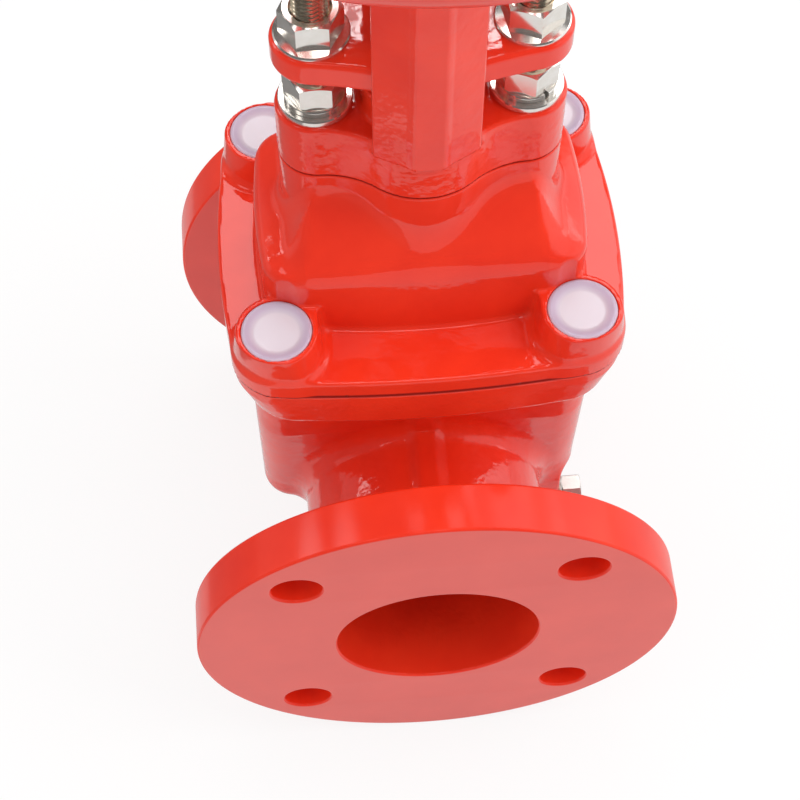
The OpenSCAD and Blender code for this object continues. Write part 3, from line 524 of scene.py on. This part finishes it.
# yoke: lobed base with a round boss, two bevelled legs with a raised band, round head
yoke = {"foot": 190, "top": 214, "base": (26, 13.5, 34.5, 30), "baseEdge": 1.3, "baseJoin": 1.5,
        "bossR": 20, "bossFoot": 200, "bossTop": 226, "bossEdge": 1.2, "bossJoin": 2, "ledge": 204.5,
        "ledgeY": 25.4, "ledgeGap": 1, "ledgeEdge": 1.5, "legFoot": 209, "legW": 35, "legOut": 27.9,
        "legSide": 21.8, "legIn": (-2, 4), "legEdge": 0.8, "soft": 0.5, "bandW": 12, "bandEase": 0.8,
        "bandRise": 1.0, "bandR": 1, "bandJoin": 2, "room": (22.6, 14.1, 34.5, 149.4), "roomEdge": 1.2,
        "headFoot": 320, "headTop": 354, "headR": 31, "headEdge": 1.5, "headJoin": 5, "coneH": 12,
        "coneR": 27.4, "coneScale": 0.9, "boxR": 17, "boxRun": 5, "boxEdge": 1, "nutR": 22, "nutFoot": 332,
        "sleeveR": 17, "sleeveFoot": 300, "box": ((-51, -33, 187), (51, 33, 357)), "cell": 1.0}


def legShape(v):  # drawn small by the amount that its edges are rounded
    e = v["soft"]
    return fourWay([(v["legW"] / 2 - e, 0), (v["legW"] / 2 - e, v["legSide"] - e),
                    (v["bandW"] / 2, v["legOut"] - e), (0, v["legOut"] - e)])


legOutline = legShape(yoke)


def yokeField(x, y, z):
    v = yoke
    base = roundMeet(lobedDistance(x, y, *v["base"]), slab(z, v["foot"], v["top"]), v["baseEdge"])
    step = np.maximum(np.abs(x) - v["legW"] / 2 - v["ledgeGap"], v["ledgeY"] - np.abs(y))
    base = roundCut(base, np.maximum(step, v["ledge"] - z), v["ledgeEdge"])
    boss = roundMeet(rodDistance(x, y, v["bossR"]), slab(z, v["bossFoot"], v["bossTop"]), v["bossEdge"])
    base = roundJoin(base, boss, v["bossJoin"])
    gate = lobedDistance(x, y, *v["room"])
    legs = outlineDistance(x, y, legOutline) - v["soft"]
    band = plateDistance(x, y, v["bandW"] / 2 - v["bandEase"], v["legOut"] + v["bandRise"], v["bandR"])
    legs = roundCut(roundJoin(legs, band, v["bandJoin"]), gate, v["roomEdge"])
    legs = np.maximum(legs, slab(z, v["legFoot"] + v["legIn"][0], v["headFoot"] + v["legIn"][1]))
    legs = roundMeet(legs, v["legFoot"] - z, v["legEdge"])
    shape = roundJoin(base, legs, v["baseJoin"])
    cone = np.hypot(x, y) - v["headR"] + (v["headFoot"] - z) * (v["headR"] - v["coneR"]) / v["coneH"]
    head = np.maximum(rodDistance(x, y, v["headR"]), cone * v["coneScale"])
    head = roundMeet(head, slab(z, v["headFoot"] - v["coneH"], v["headTop"]), v["headEdge"])
    head = roundCut(head, np.maximum(gate, z - v["headFoot"]), v["headEdge"])
    shape = roundJoin(shape, head, v["headJoin"])
    shape = np.maximum(shape, -np.maximum(rodDistance(x, y, v["sleeveR"]), v["sleeveFoot"] - z))
    shape = np.maximum(shape, -np.maximum(rodDistance(x, y, v["nutR"]), v["nutFoot"] - z))
    packing = np.maximum(rodDistance(x, y, v["boxR"]), z - v["bossTop"] - v["boxRun"])
    return roundCut(shape, packing, v["boxEdge"])


# gland plate
gland = {"foot": 236, "top": 246.4, "shape": (22, 13.5, 34.5, 150), "edge": 1.8, "holeR": 15.3,
         "holeEdge": 0.8, "box": ((-50, -24, 234), (50, 24, 249)), "cell": 0.7}


def glandField(x, y, z):
    v = gland
    shape = roundMeet(lobedDistance(x, y, *v["shape"]), slab(z, v["foot"], v["top"]), v["edge"])
    return roundCut(shape, rodDistance(x, y, v["holeR"]), v["holeEdge"])


# handwheel: round rim, five tapered spokes and a hub
wheel = {"rimR": 98, "tubeR": 9, "rimZ": 377, "hubR": 24, "hubFoot": 364, "hubTop": 390, "hubEdge": 1.5,
         "bore": 16.05, "boreEdge": 0.8, "spokes": 5, "spokeIn": 7.65, "spokeOut": 5.85, "spokeRun": 5,
         "join": 6, "box": ((-110, -110, 362), (110, 110, 392)), "cell": 1.05}


def wheelField(x, y, z):
    v = wheel
    r = np.hypot(x, y)
    rim = np.hypot(r - v["rimR"], z - v["rimZ"]) - v["tubeR"]
    hub = roundMeet(r - v["hubR"], slab(z, v["hubFoot"], v["hubTop"]), v["hubEdge"])
    turn = 2 * math.pi / v["spokes"]
    angle = (np.arctan2(y, x) - math.pi / 2 + turn / 2) % turn - turn / 2
    along, aside = r * np.cos(angle), r * np.sin(angle)
    part = np.clip((along - v["hubR"]) / (v["rimR"] - v["hubR"]), 0, 1)
    spoke = np.hypot(aside, z - v["rimZ"]) - v["spokeIn"] - (v["spokeOut"] - v["spokeIn"]) * part
    spoke = np.maximum(spoke, slab(along, v["hubR"] - v["spokeRun"], v["rimR"]))
    shape = roundJoin(roundJoin(rim, spoke, v["join"]), hub, v["join"])
    return roundCut(shape, r - v["bore"], v["boreEdge"])


# geometry node trees: named sizes in, one shape out
def newTree(name, kinds):
    tree = bpy.data.node_groups.new(name, "GeometryNodeTree")
    tree.interface.new_socket("Shape", in_out="OUTPUT", socket_type="NodeSocketGeometry")
    for kind, labels in kinds.items():
        for label in labels:
            tree.interface.new_socket(label, in_out="INPUT", socket_type="NodeSocket" + kind)
    return tree, addNode(tree, "NodeGroupInput").outputs


def closeTree(tree, shape, given):
    real = addNode(tree, "GeometryNodeRealizeInstances", {0: shape})
    dress = addNode(tree, "GeometryNodeSetMaterial", {"Geometry": real, "Material": given["Material"]})
    addNode(tree, "NodeGroupOutput", {0: dress})


def runTree(name, tree, sizes):
    carrier = bpy.data.objects.new(name + "Carrier", bpy.data.meshes.new(name + "Carrier"))
    bpy.context.collection.objects.link(carrier)
    modifier = carrier.modifiers.new("tree", "NODES")
    modifier.node_group = tree
    for item in tree.interface.items_tree:
        if item.item_type == "SOCKET" and item.in_out == "INPUT":
            modifier[item.identifier] = sizes[item.name]
    bpy.context.view_layer.update()
    mesh = bpy.data.meshes.new_from_object(carrier.evaluated_get(bpy.context.evaluated_depsgraph_get()))
    carrier.modifiers.remove(modifier)
    bpy.data.objects.remove(carrier)
    mesh.name = name
    return linked(name, mesh)


# threaded rod: a grid rolled into a tube, pressed in along a helix, over a plain core
def threadTree():
    tree, given = newTree("threadedRod", {"Float": ["Radius", "Depth", "Pitch", "Flank", "Low", "High"],
                                          "Int": ["Around", "Along"], "Material": ["Material"]})
    work = partial(maths, tree)
    grid = addNode(tree, "GeometryNodeMeshGrid", {"Size X": 1, "Size Y": 1, "Vertices X": given["Around"],
                                                  "Vertices Y": given["Along"]})
    spot = parted(tree, addNode(tree, "GeometryNodeInputPosition"))
    turn = work("ADD", spot["X"], 0.5)
    part = work("ADD", spot["Y"], 0.5)
    span = work("SUBTRACT", given["High"], given["Low"])
    height = work("MULTIPLY_ADD", part, span, given["Low"])
    phase = work("FRACT", work("SUBTRACT", work("DIVIDE", height, given["Pitch"]), turn))
    flank = work("MULTIPLY", work("ABSOLUTE", work("MULTIPLY_ADD", phase, 2, -1)), given["Flank"])
    flank = work("SUBTRACT", flank, work("MULTIPLY_ADD", given["Flank"], 0.5, -0.5))
    press = work("MULTIPLY", work("MINIMUM", work("MAXIMUM", flank, 0), 1), given["Depth"])
    tip = work("SUBTRACT", given["Depth"], work("SUBTRACT", given["High"], height))
    press = work("MAXIMUM", press, work("MAXIMUM", tip, 0))
    radius = work("SUBTRACT", given["Radius"], press)
    angle = work("MULTIPLY", turn, 2 * math.pi)
    rolled = addNode(tree, "ShaderNodeCombineXYZ", {"X": work("MULTIPLY", radius, work("COSINE", angle)),
                                                    "Y": work("MULTIPLY", radius, work("SINE", angle)),
                                                    "Z": height})
    roll = addNode(tree, "GeometryNodeSetPosition", {"Geometry": grid, "Position": rolled})
    weld = addNode(tree, "GeometryNodeMergeByDistance", {"Geometry": roll, "Distance": 0.000001})
    core = addNode(tree, "GeometryNodeMeshCylinder", {
        "Vertices": 48, "Radius": work("SUBTRACT", given["Radius"], given["Depth"]), "Depth": span})
    middle = addNode(tree, "ShaderNodeCombineXYZ", {
        "Z": work("MULTIPLY", work("ADD", given["High"], given["Low"]), 0.5)})
    lift = addNode(tree, "GeometryNodeTransform", {"Geometry": core, "Translation": middle})
    both = addNode(tree, "GeometryNodeJoinGeometry", {0: lift})
    feed(tree, both, {0: weld})
    closeTree(tree, both, given)
    return tree


# one template set at the corners of a rectangle, or at the ends of a line
def spreadTree():
    tree, given = newTree("spreadOut", {
        "Float": ["Spacing X", "Spacing Y", "Middle Y", "Left Turn", "Right Turn"],
        "Int": ["Count X", "Count Y"], "Object": ["Template"], "Material": ["Material"]})
    grid = addNode(tree, "GeometryNodeMeshGrid", {
        "Size X": given["Spacing X"], "Size Y": given["Spacing Y"], "Vertices X": given["Count X"],
        "Vertices Y": given["Count Y"]})
    shift = addNode(tree, "ShaderNodeCombineXYZ", {"Y": given["Middle Y"]})
    lay = addNode(tree, "GeometryNodeTransform", {"Geometry": grid, "Translation": shift})
    template = addNode(tree, "GeometryNodeObjectInfo", {"Object": given["Template"]})
    spot = parted(tree, addNode(tree, "GeometryNodeInputPosition"))
    side = maths(tree, "GREATER_THAN", spot["X"], 0)
    spin = addNode(tree, "ShaderNodeCombineXYZ", {
        "Z": maths(tree, "MULTIPLY_ADD", side, given["Right Turn"], given["Left Turn"])})
    spots = addNode(tree, "GeometryNodeInstanceOnPoints", {
        "Points": lay, "Instance": template.outputs["Geometry"], "Rotation": spin})
    closeTree(tree, spots, given)
    return tree


turnSteps = 96
chamfer = 0.97  # where a hexagon's chamfer starts, as a share of its half width
axisR = 0.02  # a turned solid keeps this radius on its axis


def solidFrom(name, points, faces):
    mesh = bpy.data.meshes.new(name)
    mesh.from_pydata(points, [], faces)
    mesh.validate()
    mesh.shade_smooth()
    mesh.set_sharp_from_angle(angle=math.radians(28))
    return bpy.data.objects.new(name, mesh)


# solid of revolution: rows of (radius, height), with a third value where the radius follows a hexagon
# and the height follows that share of a 30 degree chamfer
def turned(name, rows, af=None):
    n = turnSteps
    angles = np.arange(n) * 2 * math.pi / n
    points, faces = [], []
    for r, z, *lean in rows:
        radius = np.full(n, float(r))
        height = np.full(n, float(z))
        if lean:
            around = (angles + math.pi / 6) % (math.pi / 3) - math.pi / 6
            radius = af / 2 / np.cos(around)
            height = z + lean[0] * (radius - r) * math.tan(math.radians(30))
        points += list(zip(radius * np.cos(angles) * mm, radius * np.sin(angles) * mm, height * mm))
    for k in range(len(rows)):
        up = (k + 1) % len(rows)
        for i in range(n):
            j = (i + 1) % n
            faces.append((k * n + i, k * n + j, up * n + j, up * n + i))
    return solidFrom(name, points, faces)


# hexagon nut: a chamfer at both ends, or a flange (radius, height) below in place of the lower one
hexNut = {"mouth": 0.9, "ease": 0.3, "flangeSide": 0.7, "flangeTop": (0.5, 1.1), "flangeLean": -0.287}


def turnedHex(name, v, af, low, high, bore, flange=None):
    start = af / 2 * chamfer
    rows = [(start, high, -1), (start, high), (bore + v["mouth"], high), (bore, high - v["mouth"])]
    if flange:
        r, foot = flange[0], low - flange[1]
        inwards, upwards = v["flangeTop"]
        rows = [(r, foot), (r, foot + v["flangeSide"]), (r - inwards, foot + upwards),
                (start, low, v["flangeLean"])] + rows + [(bore, foot)]
    else:
        rows = [(start, low), (start, low, 1)] + rows + [(bore, low + v["ease"]), (bore + v["ease"], low)]
    return turned(name, rows, af)


def spread(name, template, spacing, counts, material, turns=(0.0, 0.0)):
    sizes = {"Spacing X": spacing[0] * mm, "Spacing Y": spacing[1] * mm, "Count X": counts[0],
             "Count Y": counts[1], "Middle Y": inletY * mm, "Template": template, "Left Turn": turns[0],
             "Right Turn": turns[1] - turns[0], "Material": material}
    piece = runTree(name, rowTree, sizes)
    bpy.data.objects.remove(template)
    return piece


rodTree = threadTree()
rowTree = spreadTree()


# materials
def group(name, inputs, outputs):
    tree = bpy.data.node_groups.new(name, "ShaderNodeTree")
    for label, value in inputs.items():
        socket = tree.interface.new_socket(label, in_out="INPUT", socket_type="NodeSocketFloat")
        socket.default_value = value
    for label, kind in outputs.items():
        tree.interface.new_socket(label, in_out="OUTPUT", socket_type="NodeSocket" + kind)
    return tree, addNode(tree, "NodeGroupInput").outputs, addNode(tree, "NodeGroupOutput")


def noise(tree, scale, detail, rough=0.5, stretch=None):
    spot = objectPlace(tree)
    if stretch:
        spot = addNode(tree, "ShaderNodeMapping", {"Vector": spot, "Scale": stretch})
    return addNode(tree, "ShaderNodeTexNoise", {"Vector": spot, "Scale": scale, "Detail": detail,
                                                "Roughness": rough})


def between(tree, amount, low, high):
    return addNode(tree, "ShaderNodeMapRange", {"Value": amount, "From Min": 0.3, "From Max": 0.7,
                                                "To Min": low, "To Max": high})


def bumpFrom(tree, height, depth):
    return addNode(tree, "ShaderNodeBump", {"Strength": 1, "Distance": depth, "Height": height})


def mixColours(tree, amount, first, second):
    return addNode(tree, "ShaderNodeMix", {"Factor": amount, "A": first, "B": second},
                   data_type="RGBA").outputs["Result"]


# lumps of a cast surface under paint: large waves, small waves and fine grain
def castLumps():
    tree, given, out = group("castLumps", {"Wave": 120, "Depth": 0.0004, "Small": 0.3, "Grain": 0.2},
                             {"Normal": "Vector", "Shade": "Float"})
    work = partial(maths, tree)
    large = noise(tree, given["Wave"], 2, 0.45)
    small = noise(tree, work("MULTIPLY", given["Wave"], 3.1), 2)
    fine = noise(tree, 2600, 1)
    patchy = between(tree, noise(tree, 30, 1), 0.35, 1.4)
    height = work("MULTIPLY_ADD", work("MULTIPLY", small, given["Small"]), patchy, large)
    height = work("MULTIPLY_ADD", work("MULTIPLY", fine, given["Grain"]), 0.1, height)
    feed(tree, out, {"Normal": bumpFrom(tree, height, given["Depth"]), "Shade": noise(tree, 35, 3)})
    return tree


# 1 close to a level joint between two castings, 0 away from it: where the painted shade of the joint gap goes
def jointShadeLine():
    tree, given, out = group("jointShadeLine", {"Level": 0.1, "Half": 0.001}, {"Seam": "Float"})
    level = parted(tree, objectPlace(tree))["Z"]
    away = maths(tree, "ABSOLUTE", maths(tree, "SUBTRACT", level, given["Level"]))
    edge = addNode(tree, "ShaderNodeMapRange", {"Value": maths(tree, "DIVIDE", away, given["Half"]),
                                                "From Min": 1, "From Max": 0.5})
    feed(tree, out, {"Seam": edge})
    return tree


# marks of turning and handling on bright metal
def metalMarks():
    tree, given, out = group("metalMarks", {"Fine": 900, "Depth": 0.00003},
                             {"Normal": "Vector", "Dull": "Float"})
    lines = noise(tree, given["Fine"], 2, 0.6, (0.25, 0.25, 3))
    feed(tree, out, {"Normal": bumpFrom(tree, lines, given["Depth"]), "Dull": noise(tree, 260, 3)})
    return tree


shared = {"castLumps": castLumps(), "jointShadeLine": jointShadeLine(), "metalMarks": metalMarks()}


def useGroup(tree, name, values):
    return addNode(tree, "ShaderNodeGroup", values, node_tree=shared[name]).outputs


def tint(tree, amount, dark, light):
    return mixColours(tree, between(tree, amount, 0, 1), dark, light)


def lumpSizes(wave, depth, small, grain):
    return {"Wave": wave, "Depth": depth, "Small": small, "Grain": grain}


def coatLook(under, coat, coatRough, rough=0.5):
    return {"Roughness": rough, "Specular IOR Level": under, "Coat Weight": coat, "Coat Roughness": coatRough,
            "Coat IOR": 1.5}


def enamel(name, colours, lumps, looks, shadedJoints=()):
    mat, tree, shade = newMaterial(name, {"Base Color": colours[1], **looks})
    cast = useGroup(tree, "castLumps", lumps)
    colour = tint(tree, cast["Shade"], *colours)
    # painted shade: along the joints the colour darkens and the coat gloss fades, standing in for the shaded
    # gap between castings
    if shadedJoints:
        dark = [useGroup(tree, "jointShadeLine", {"Level": z * mm, "Half": half * mm})["Seam"] for z, half in shadedJoints]
        dark = maths(tree, "MAXIMUM", *dark)
        colour = mixColours(tree, dark, colour, jointShadeColour)
        feed(tree, shade, {"Coat Weight": maths(tree, "SUBTRACT", looks["Coat Weight"], dark)})
    feed(tree, shade, {"Normal": cast["Normal"], "Coat Normal": cast["Normal"], "Base Color": colour})
    return mat


def metal(name, colours, roughness, fine, depth, metallic):
    mat, tree, shade = newMaterial(name, {"Base Color": colours[1], "Metallic": metallic})
    worn = useGroup(tree, "metalMarks", {"Fine": fine, "Depth": depth})
    feed(tree, shade, {"Normal": worn["Normal"], "Base Color": tint(tree, worn["Dull"], *colours),
                       "Roughness": between(tree, worn["Dull"], *roughness)})
    return mat


def softStuff(name, colours, roughness, grain, metallic=0.0):
    mat, tree, shade = newMaterial(name, {"Base Color": colours[1], "Metallic": metallic})
    cast = useGroup(tree, "castLumps", grain)
    feed(tree, shade, {"Normal": cast["Normal"], "Base Color": tint(tree, cast["Shade"], *colours),
                       "Roughness": between(tree, cast["Shade"], *roughness)})
    return mat


redTones = (0.76, 0.024, 0.007, 1), (0.86, 0.036, 0.010, 1)
# pipe flange faces: a rougher satin finish, and a colour pinker than the red paint that is painted sheen,
# standing in for part of the pale reflection these faces show
satinSheenTones = (0.76, 0.050, 0.030, 1), (0.82, 0.060, 0.036, 1)
shadedJoints = (121.5, 1.4), (190.0, 0.3)  # height and half width of the painted shade lines that stand in for the shaded gaps at the castings' joints
# dark red of that painted joint shade
jointShadeColour = (0.30, 0.008, 0.004, 1)
wetLook = coatLook(0.15, 1.0, 0.04)
redEnamel = enamel("redEnamel", redTones, lumpSizes(110, 0.00016, 0.25, 0.2), wetLook, shadedJoints)
lumpyEnamel = enamel("lumpyEnamel", redTones, lumpSizes(120, 0.00032, 0.4, 0.2), wetLook, shadedJoints)
satinEnamel = enamel("satinEnamel", satinSheenTones, lumpSizes(60, 0.00001, 0.3, 0.8),
                     coatLook(0.5, 0.75, 0.3, 0.55))
wheelEnamel = enamel("wheelEnamel", redTones, lumpSizes(90, 0.00012, 0.3, 0.2), coatLook(0.3, 1.0, 0.22))
rimEnamel = enamel("rimEnamel", redTones, lumpSizes(60, 0.00001, 0.3, 0.3), coatLook(0.15, 0.5, 0.15))
stainless = metal("stainlessSteel", ((0.88, 0.84, 0.78, 1), (0.94, 0.92, 0.88, 1)), (0.10, 0.16),
                  900, 0.0000003, 0.9)
studSteel = metal("studSteel", ((0.66, 0.55, 0.40, 1), (0.86, 0.76, 0.58, 1)), (0.12, 0.2),
                  900, 0.0000005, 0.95)
stemSteel = metal("stemSteel", ((0.66, 0.64, 0.61, 1), (0.72, 0.70, 0.68, 1)), (0.18, 0.24),
                  1400, 0.000001, 0.85)
zincSteel = metal("zincSteel", ((0.50, 0.49, 0.46, 1), (0.68, 0.67, 0.64, 1)), (0.28, 0.42),
                  500, 0.000006, 0.85)
brassMetal = metal("brassMetal", ((0.62, 0.40, 0.14, 1), (0.80, 0.56, 0.22, 1)), (0.22, 0.36),
                   700, 0.000005, 0.9)
copperMetal = metal("copperMetal", ((0.60, 0.25, 0.13, 1), (0.78, 0.36, 0.21, 1)), (0.25, 0.4),
                    500, 0.000006, 0.9)
ironMetal = softStuff("castIron", ((0.05, 0.05, 0.055, 1), (0.10, 0.10, 0.105, 1)), (0.5, 0.65),
                      lumpSizes(300, 0.0003, 0.4, 1.0), 0.6)
blackRubber = softStuff("blackRubber", ((0.012, 0.012, 0.013, 1), (0.022, 0.022, 0.024, 1)), (0.5, 0.65),
                        lumpSizes(260, 0.0001, 0.3, 0.6))
graphite = softStuff("graphite", ((0.03, 0.03, 0.033, 1), (0.06, 0.06, 0.064, 1)), (0.4, 0.55),
                     lumpSizes(700, 0.0003, 0.3, 0.8), 0.3)
guidePlastic = softStuff("guidePlastic", ((0.70, 0.66, 0.54, 1), (0.78, 0.74, 0.63, 1)), (0.35, 0.45),
                         lumpSizes(200, 0.0001, 0.3, 0.2))

# milky cap: clear over its dark screw, so a bluish ring shows between the pale rim and the pale middle
capLook = {"x": bonnet["screwX"], "y": bonnet["screwY"], "r": bonnet["capR"], "middle": (0.66, 0.62, 0.68, 1),
           "rings": [(0.0, (0.66, 0.62, 0.68, 1)), (1.0, (0.70, 0.60, 0.70, 1)),
                     (0.62, (0.66, 0.62, 0.68, 1)), (0.8, (0.53, 0.45, 0.57, 1)),
                     (0.93, (0.50, 0.42, 0.54, 1))]}


def capPlastic(name, v):
    mat, tree, shade = newMaterial(name, {"Base Color": v["middle"], "Roughness": 0.3,
                                          "Subsurface Weight": 0.2,
                                          "Subsurface Radius": (0.004, 0.003, 0.003)})
    work = partial(maths, tree)
    spot = parted(tree, objectPlace(tree))
    aside = work("SUBTRACT", work("ABSOLUTE", spot["X"]), v["x"] * mm)
    along = work("ABSOLUTE", work("SUBTRACT", spot["Y"], inletY * mm))
    along = work("SUBTRACT", along, v["y"] * mm)
    square = work("MULTIPLY_ADD", along, along, work("MULTIPLY", aside, aside))
    ramp = addNode(tree, "ShaderNodeValToRGB", {"Fac": work("DIVIDE", work("SQRT", square), v["r"] * mm)})
    stops = ramp.color_ramp.elements  # it starts with two
    for i, (at, colour) in enumerate(v["rings"]):
        stop = stops[i] if i < 2 else stops.new(at)
        stop.position = at
        stop.color = colour
    feed(tree, shade, {"Base Color": ramp.outputs["Color"]})
    return mat


whitePlastic = capPlastic("whitePlastic", capLook)
print("materials made")

place(addBody(body), "casing", "red_enamel", (lumpyEnamel, rimEnamel, satinEnamel), "valve_body")
for name, field, v, owner, slot, material, node in (
        ("bonnetCasting", bonnetField, bonnet, "casing", "red_enamel", redEnamel, "bonnet"),
        ("yokeCasting", yokeField, yoke, "casing", "red_enamel", lumpyEnamel, "yoke"),
        ("glandFlange", glandField, gland, "casing", "red_enamel", redEnamel, "gland_plate"),
        ("handwheelRim", wheelField, wheel, "wheel", "wheel_enamel", wheelEnamel, "handwheel")):
    place(addPiece(name, [castShell(field, v)]), owner, slot, (material,), node)
print("castings made")


def rod(name, v, material):
    sizes = {label: v[label.lower()] * mm for label in ("Radius", "Depth", "Pitch", "Low", "High")}
    along = int((v["high"] - v["low"]) / abs(v["pitch"]) * v["steps"])
    return runTree(name, rodTree, {**sizes, "Flank": v["flank"], "Around": v["around"], "Along": along,
                                   "Material": material})


# stacks on the two gland studs
stud = {"radius": 6.0, "depth": 0.95, "pitch": 1.75, "flank": 1.15, "low": 170.0, "high": 276.4, "around": 48,
        "steps": 8}
stack = {"apart": 69.0, "studR": stud["radius"], "foot": yoke["top"], "glandTop": gland["top"], "nutAf": 18.0,
         "nutH": 10.0, "nutTurns": (30.0, 8.0), "flange": (12.25, 1.6), "washerT": 2.5, "washerR": 12.25,
         "washerSlack": 0.4, "washerEases": (0.25, 0.35)}
spring = {"outer": 10.3, "inner": 6.3, "height": 2.4, "ease": 0.25, "from": -62, "gap": 9, "rise": 0.1,
          "steps": 90, "turns": (150.0, 4.0)}


def onStuds(name, template, node, turns=(0.0, 0.0), material=stainless):
    turns = [math.radians(t) for t in turns]
    piece = spread(name, template, (stack["apart"], 0), (2, 1), material, turns)
    place(piece, "casing", "stainless_steel", (material,), node)


def splitRing(name, v, low):
    n, gap = v["steps"], math.radians(v["gap"])
    outer, inner, top, ease = v["outer"], v["inner"], v["height"], v["ease"]
    section = [(outer - ease, 0), (outer, ease), (outer, top - ease), (outer - ease, top), (inner, top),
               (inner, 0)]
    m = len(section)
    points, faces = [], []
    for i in range(n + 1):
        a = math.radians(v["from"]) + gap / 2 + (2 * math.pi - gap) * i / n
        foot = low + v["rise"] * i / n
        points += [(r * math.cos(a) * mm, r * math.sin(a) * mm, (foot + z) * mm) for r, z in section]
    for i in range(n):
        here, there = i * m, (i + 1) * m
        faces += [(here + k, there + k, there + (k + 1) % m, here + (k + 1) % m) for k in range(m)]
    faces += [tuple(range(m - 1, -1, -1)), tuple(n * m + k for k in range(m))]
    return solidFrom(name, points, faces)


def addStack(v):
    low, high = v["foot"], v["foot"] + v["washerT"]
    outer, inner = v["washerR"], v["studR"] + v["washerSlack"]
    lower, upper = v["washerEases"]
    flat = [(outer - lower, low), (outer, low + lower), (outer, high - upper), (outer - upper, high),
            (inner, high), (inner, low)]
    onStuds("flatWashers", turned("washerTemplate", flat), "base_washers")
    onStuds("springWashers", splitRing("springTemplate", spring, high), "spring_washers", spring["turns"])
    foot = high + v["washerT"]
    nut = turnedHex("nutTemplate", hexNut, v["nutAf"], foot, foot + v["nutH"], v["studR"])
    onStuds("baseNuts", nut, "base_nuts", v["nutTurns"])
    foot = v["glandTop"] + v["flange"][1]
    nut = turnedHex("flangeNutTemplate", hexNut, v["nutAf"], foot, foot + v["nutH"], v["studR"], v["flange"])
    onStuds("glandNuts", nut, "gland_nuts", v["nutTurns"])
    single = rod("studTemplate", stud, studSteel)
    single.data.set_sharp_from_angle(angle=math.radians(50))
    onStuds("glandStuds", single, "gland_studs", material=studSteel)


addStack(stack)

# rising stem: shank, collar and plain part turned, then a left-handed trapezoidal thread
stemShape = {"radius": 11.0, "pitch": -5.0, "depth": 1.8, "flank": 2.2, "around": 72, "steps": 12,
             "foot": 45.5, "shankR": 9.0, "shankTop": 62.5, "ease": 0.6, "collar": (77.7, 82.7, 15.0),
             "low": 233.0, "high": 411.9, "runOut": 0.4}


def addStem(v):
    r, foot, ease, shankR = v["radius"], v["foot"], v["ease"], v["shankR"]
    collarLow, collarHigh, collarR = v["collar"]
    top = v["low"] + v["runOut"]
    plain = turned("stemPlain", [
        (axisR, foot), (shankR - ease, foot), (shankR, foot + ease), (shankR, v["shankTop"]),
        (r, v["shankTop"]), (r, collarLow), (collarR, collarLow), (collarR, collarHigh), (r, collarHigh),
        (r, v["low"] - ease), (r - v["depth"], top), (axisR, top)])
    thread = rod("stemThread", v, stemSteel)
    shape = bmesh.new()
    for part in (plain, thread):
        shape.from_mesh(part.data)
    bpy.data.objects.remove(thread)
    mesh = bpy.data.meshes.new("risingStem")
    shape.transform(Matrix.Translation((0, inletY * mm, 0)))
    shape.to_mesh(mesh)
    shape.free()
    mesh.set_sharp_from_angle(angle=math.radians(35))
    place(linked("risingStem", mesh), "rising_stem", "stem_steel", (stemSteel,), "stem")


# hexagon plug with a disc under its head, low on the right side of the barrel
plugShape = {"r": 5.0, "in": -8.0, "discR": 7.0, "disc": (1.5, 3.0), "discEase": (0.3, 0.4), "af": 11.0,
             "top": 11.5, "at": (59.5, -19.58, -40.4)}


def addPlug(v):
    start = v["af"] / 2 * chamfer
    (low, high), discR = v["disc"], v["discR"]
    lower, upper = v["discEase"]
    piece = turned("drainPlug", [
        (axisR, v["in"]), (v["r"], v["in"]), (v["r"], low), (discR - lower, low), (discR, low + lower),
        (discR, high - upper), (discR - upper, high), (start, high), (start, high, 1), (start, v["top"], -1),
        (start, v["top"]), (axisR, v["top"])], v["af"])
    x, y, z = v["at"]
    turn = Matrix.Rotation(math.radians(90), 4, "Y")
    piece.data.transform(Matrix.Translation((x * mm, (y + inletY) * mm, z * mm)) @ turn)
    bpy.context.collection.objects.link(piece)
    place(piece, "casing", "stainless_steel", (zincSteel,), "drain_plug")
    print("drainPlug", len(piece.data.polygons), "faces")


addStem(stemShape)
addPlug(plugShape)

# caps over the bonnet screws: a raised rim round a shallow dish, each as steps from its own corner
caps = {"r": 12.35, "low": 140.8, "high": 143.8, "foot": 0.3,
        "rim": [(0, -0.7), (-0.3, -0.2), (-0.9, 0), (-1.5, -0.1)], "dishR": 8.2, "dishZ": 142.6,
        "dish": [(0.9, 0.5), (0.2, 0.1), (-0.8, 0)], "crown": 0.15, "apart": (106.6, 86.8)}


def addCaps(v):
    rows = [(v["r"] - v["foot"], v["low"]), (v["r"], v["low"] + v["foot"])]
    rows += [(v["r"] + a, v["high"] + b) for a, b in v["rim"]]
    rows += [(v["dishR"] + a, v["dishZ"] + b) for a, b in v["dish"]]
    rows += [(axisR, v["dishZ"] + v["crown"]), (axisR, v["low"])]
    template = turned("capTemplate", rows)
    template.data.set_sharp_from_angle(angle=math.radians(60))
    piece = spread("screwCaps", template, v["apart"], (2, 2), whitePlastic)
    place(piece, "casing", "white_plastic", (whitePlastic,), "screw_caps")


addCaps(caps)
print("fasteners made")

# the CAD nodes that stay get their own finish
finishes = ((blackRubber, "bonnet_gasket", "yoke_seal", "wedge_rubber"), (copperMetal, "plug_washer"),
            (zincSteel, "bonnet_screws", "wheel_key"), (graphite, "packing_rings"), (ironMetal, "wedge_core"),
            (guidePlastic, "wedge_guides"), (redEnamel, "head_cap"),
            (stainless, "stem_pin", "cap_screws", "wheel_washer"),
            (brassMetal, "back_seat_bush", "gland_bush", "wedge_nut", "stem_nut", "lower_thrust_washer",
             "upper_thrust_washer", "wheel_nut"))
for material, *nodes in finishes:
    for node in nodes:
        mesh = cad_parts[node].data
        mesh.materials.clear()
        mesh.materials.append(material)
print("finishes given")
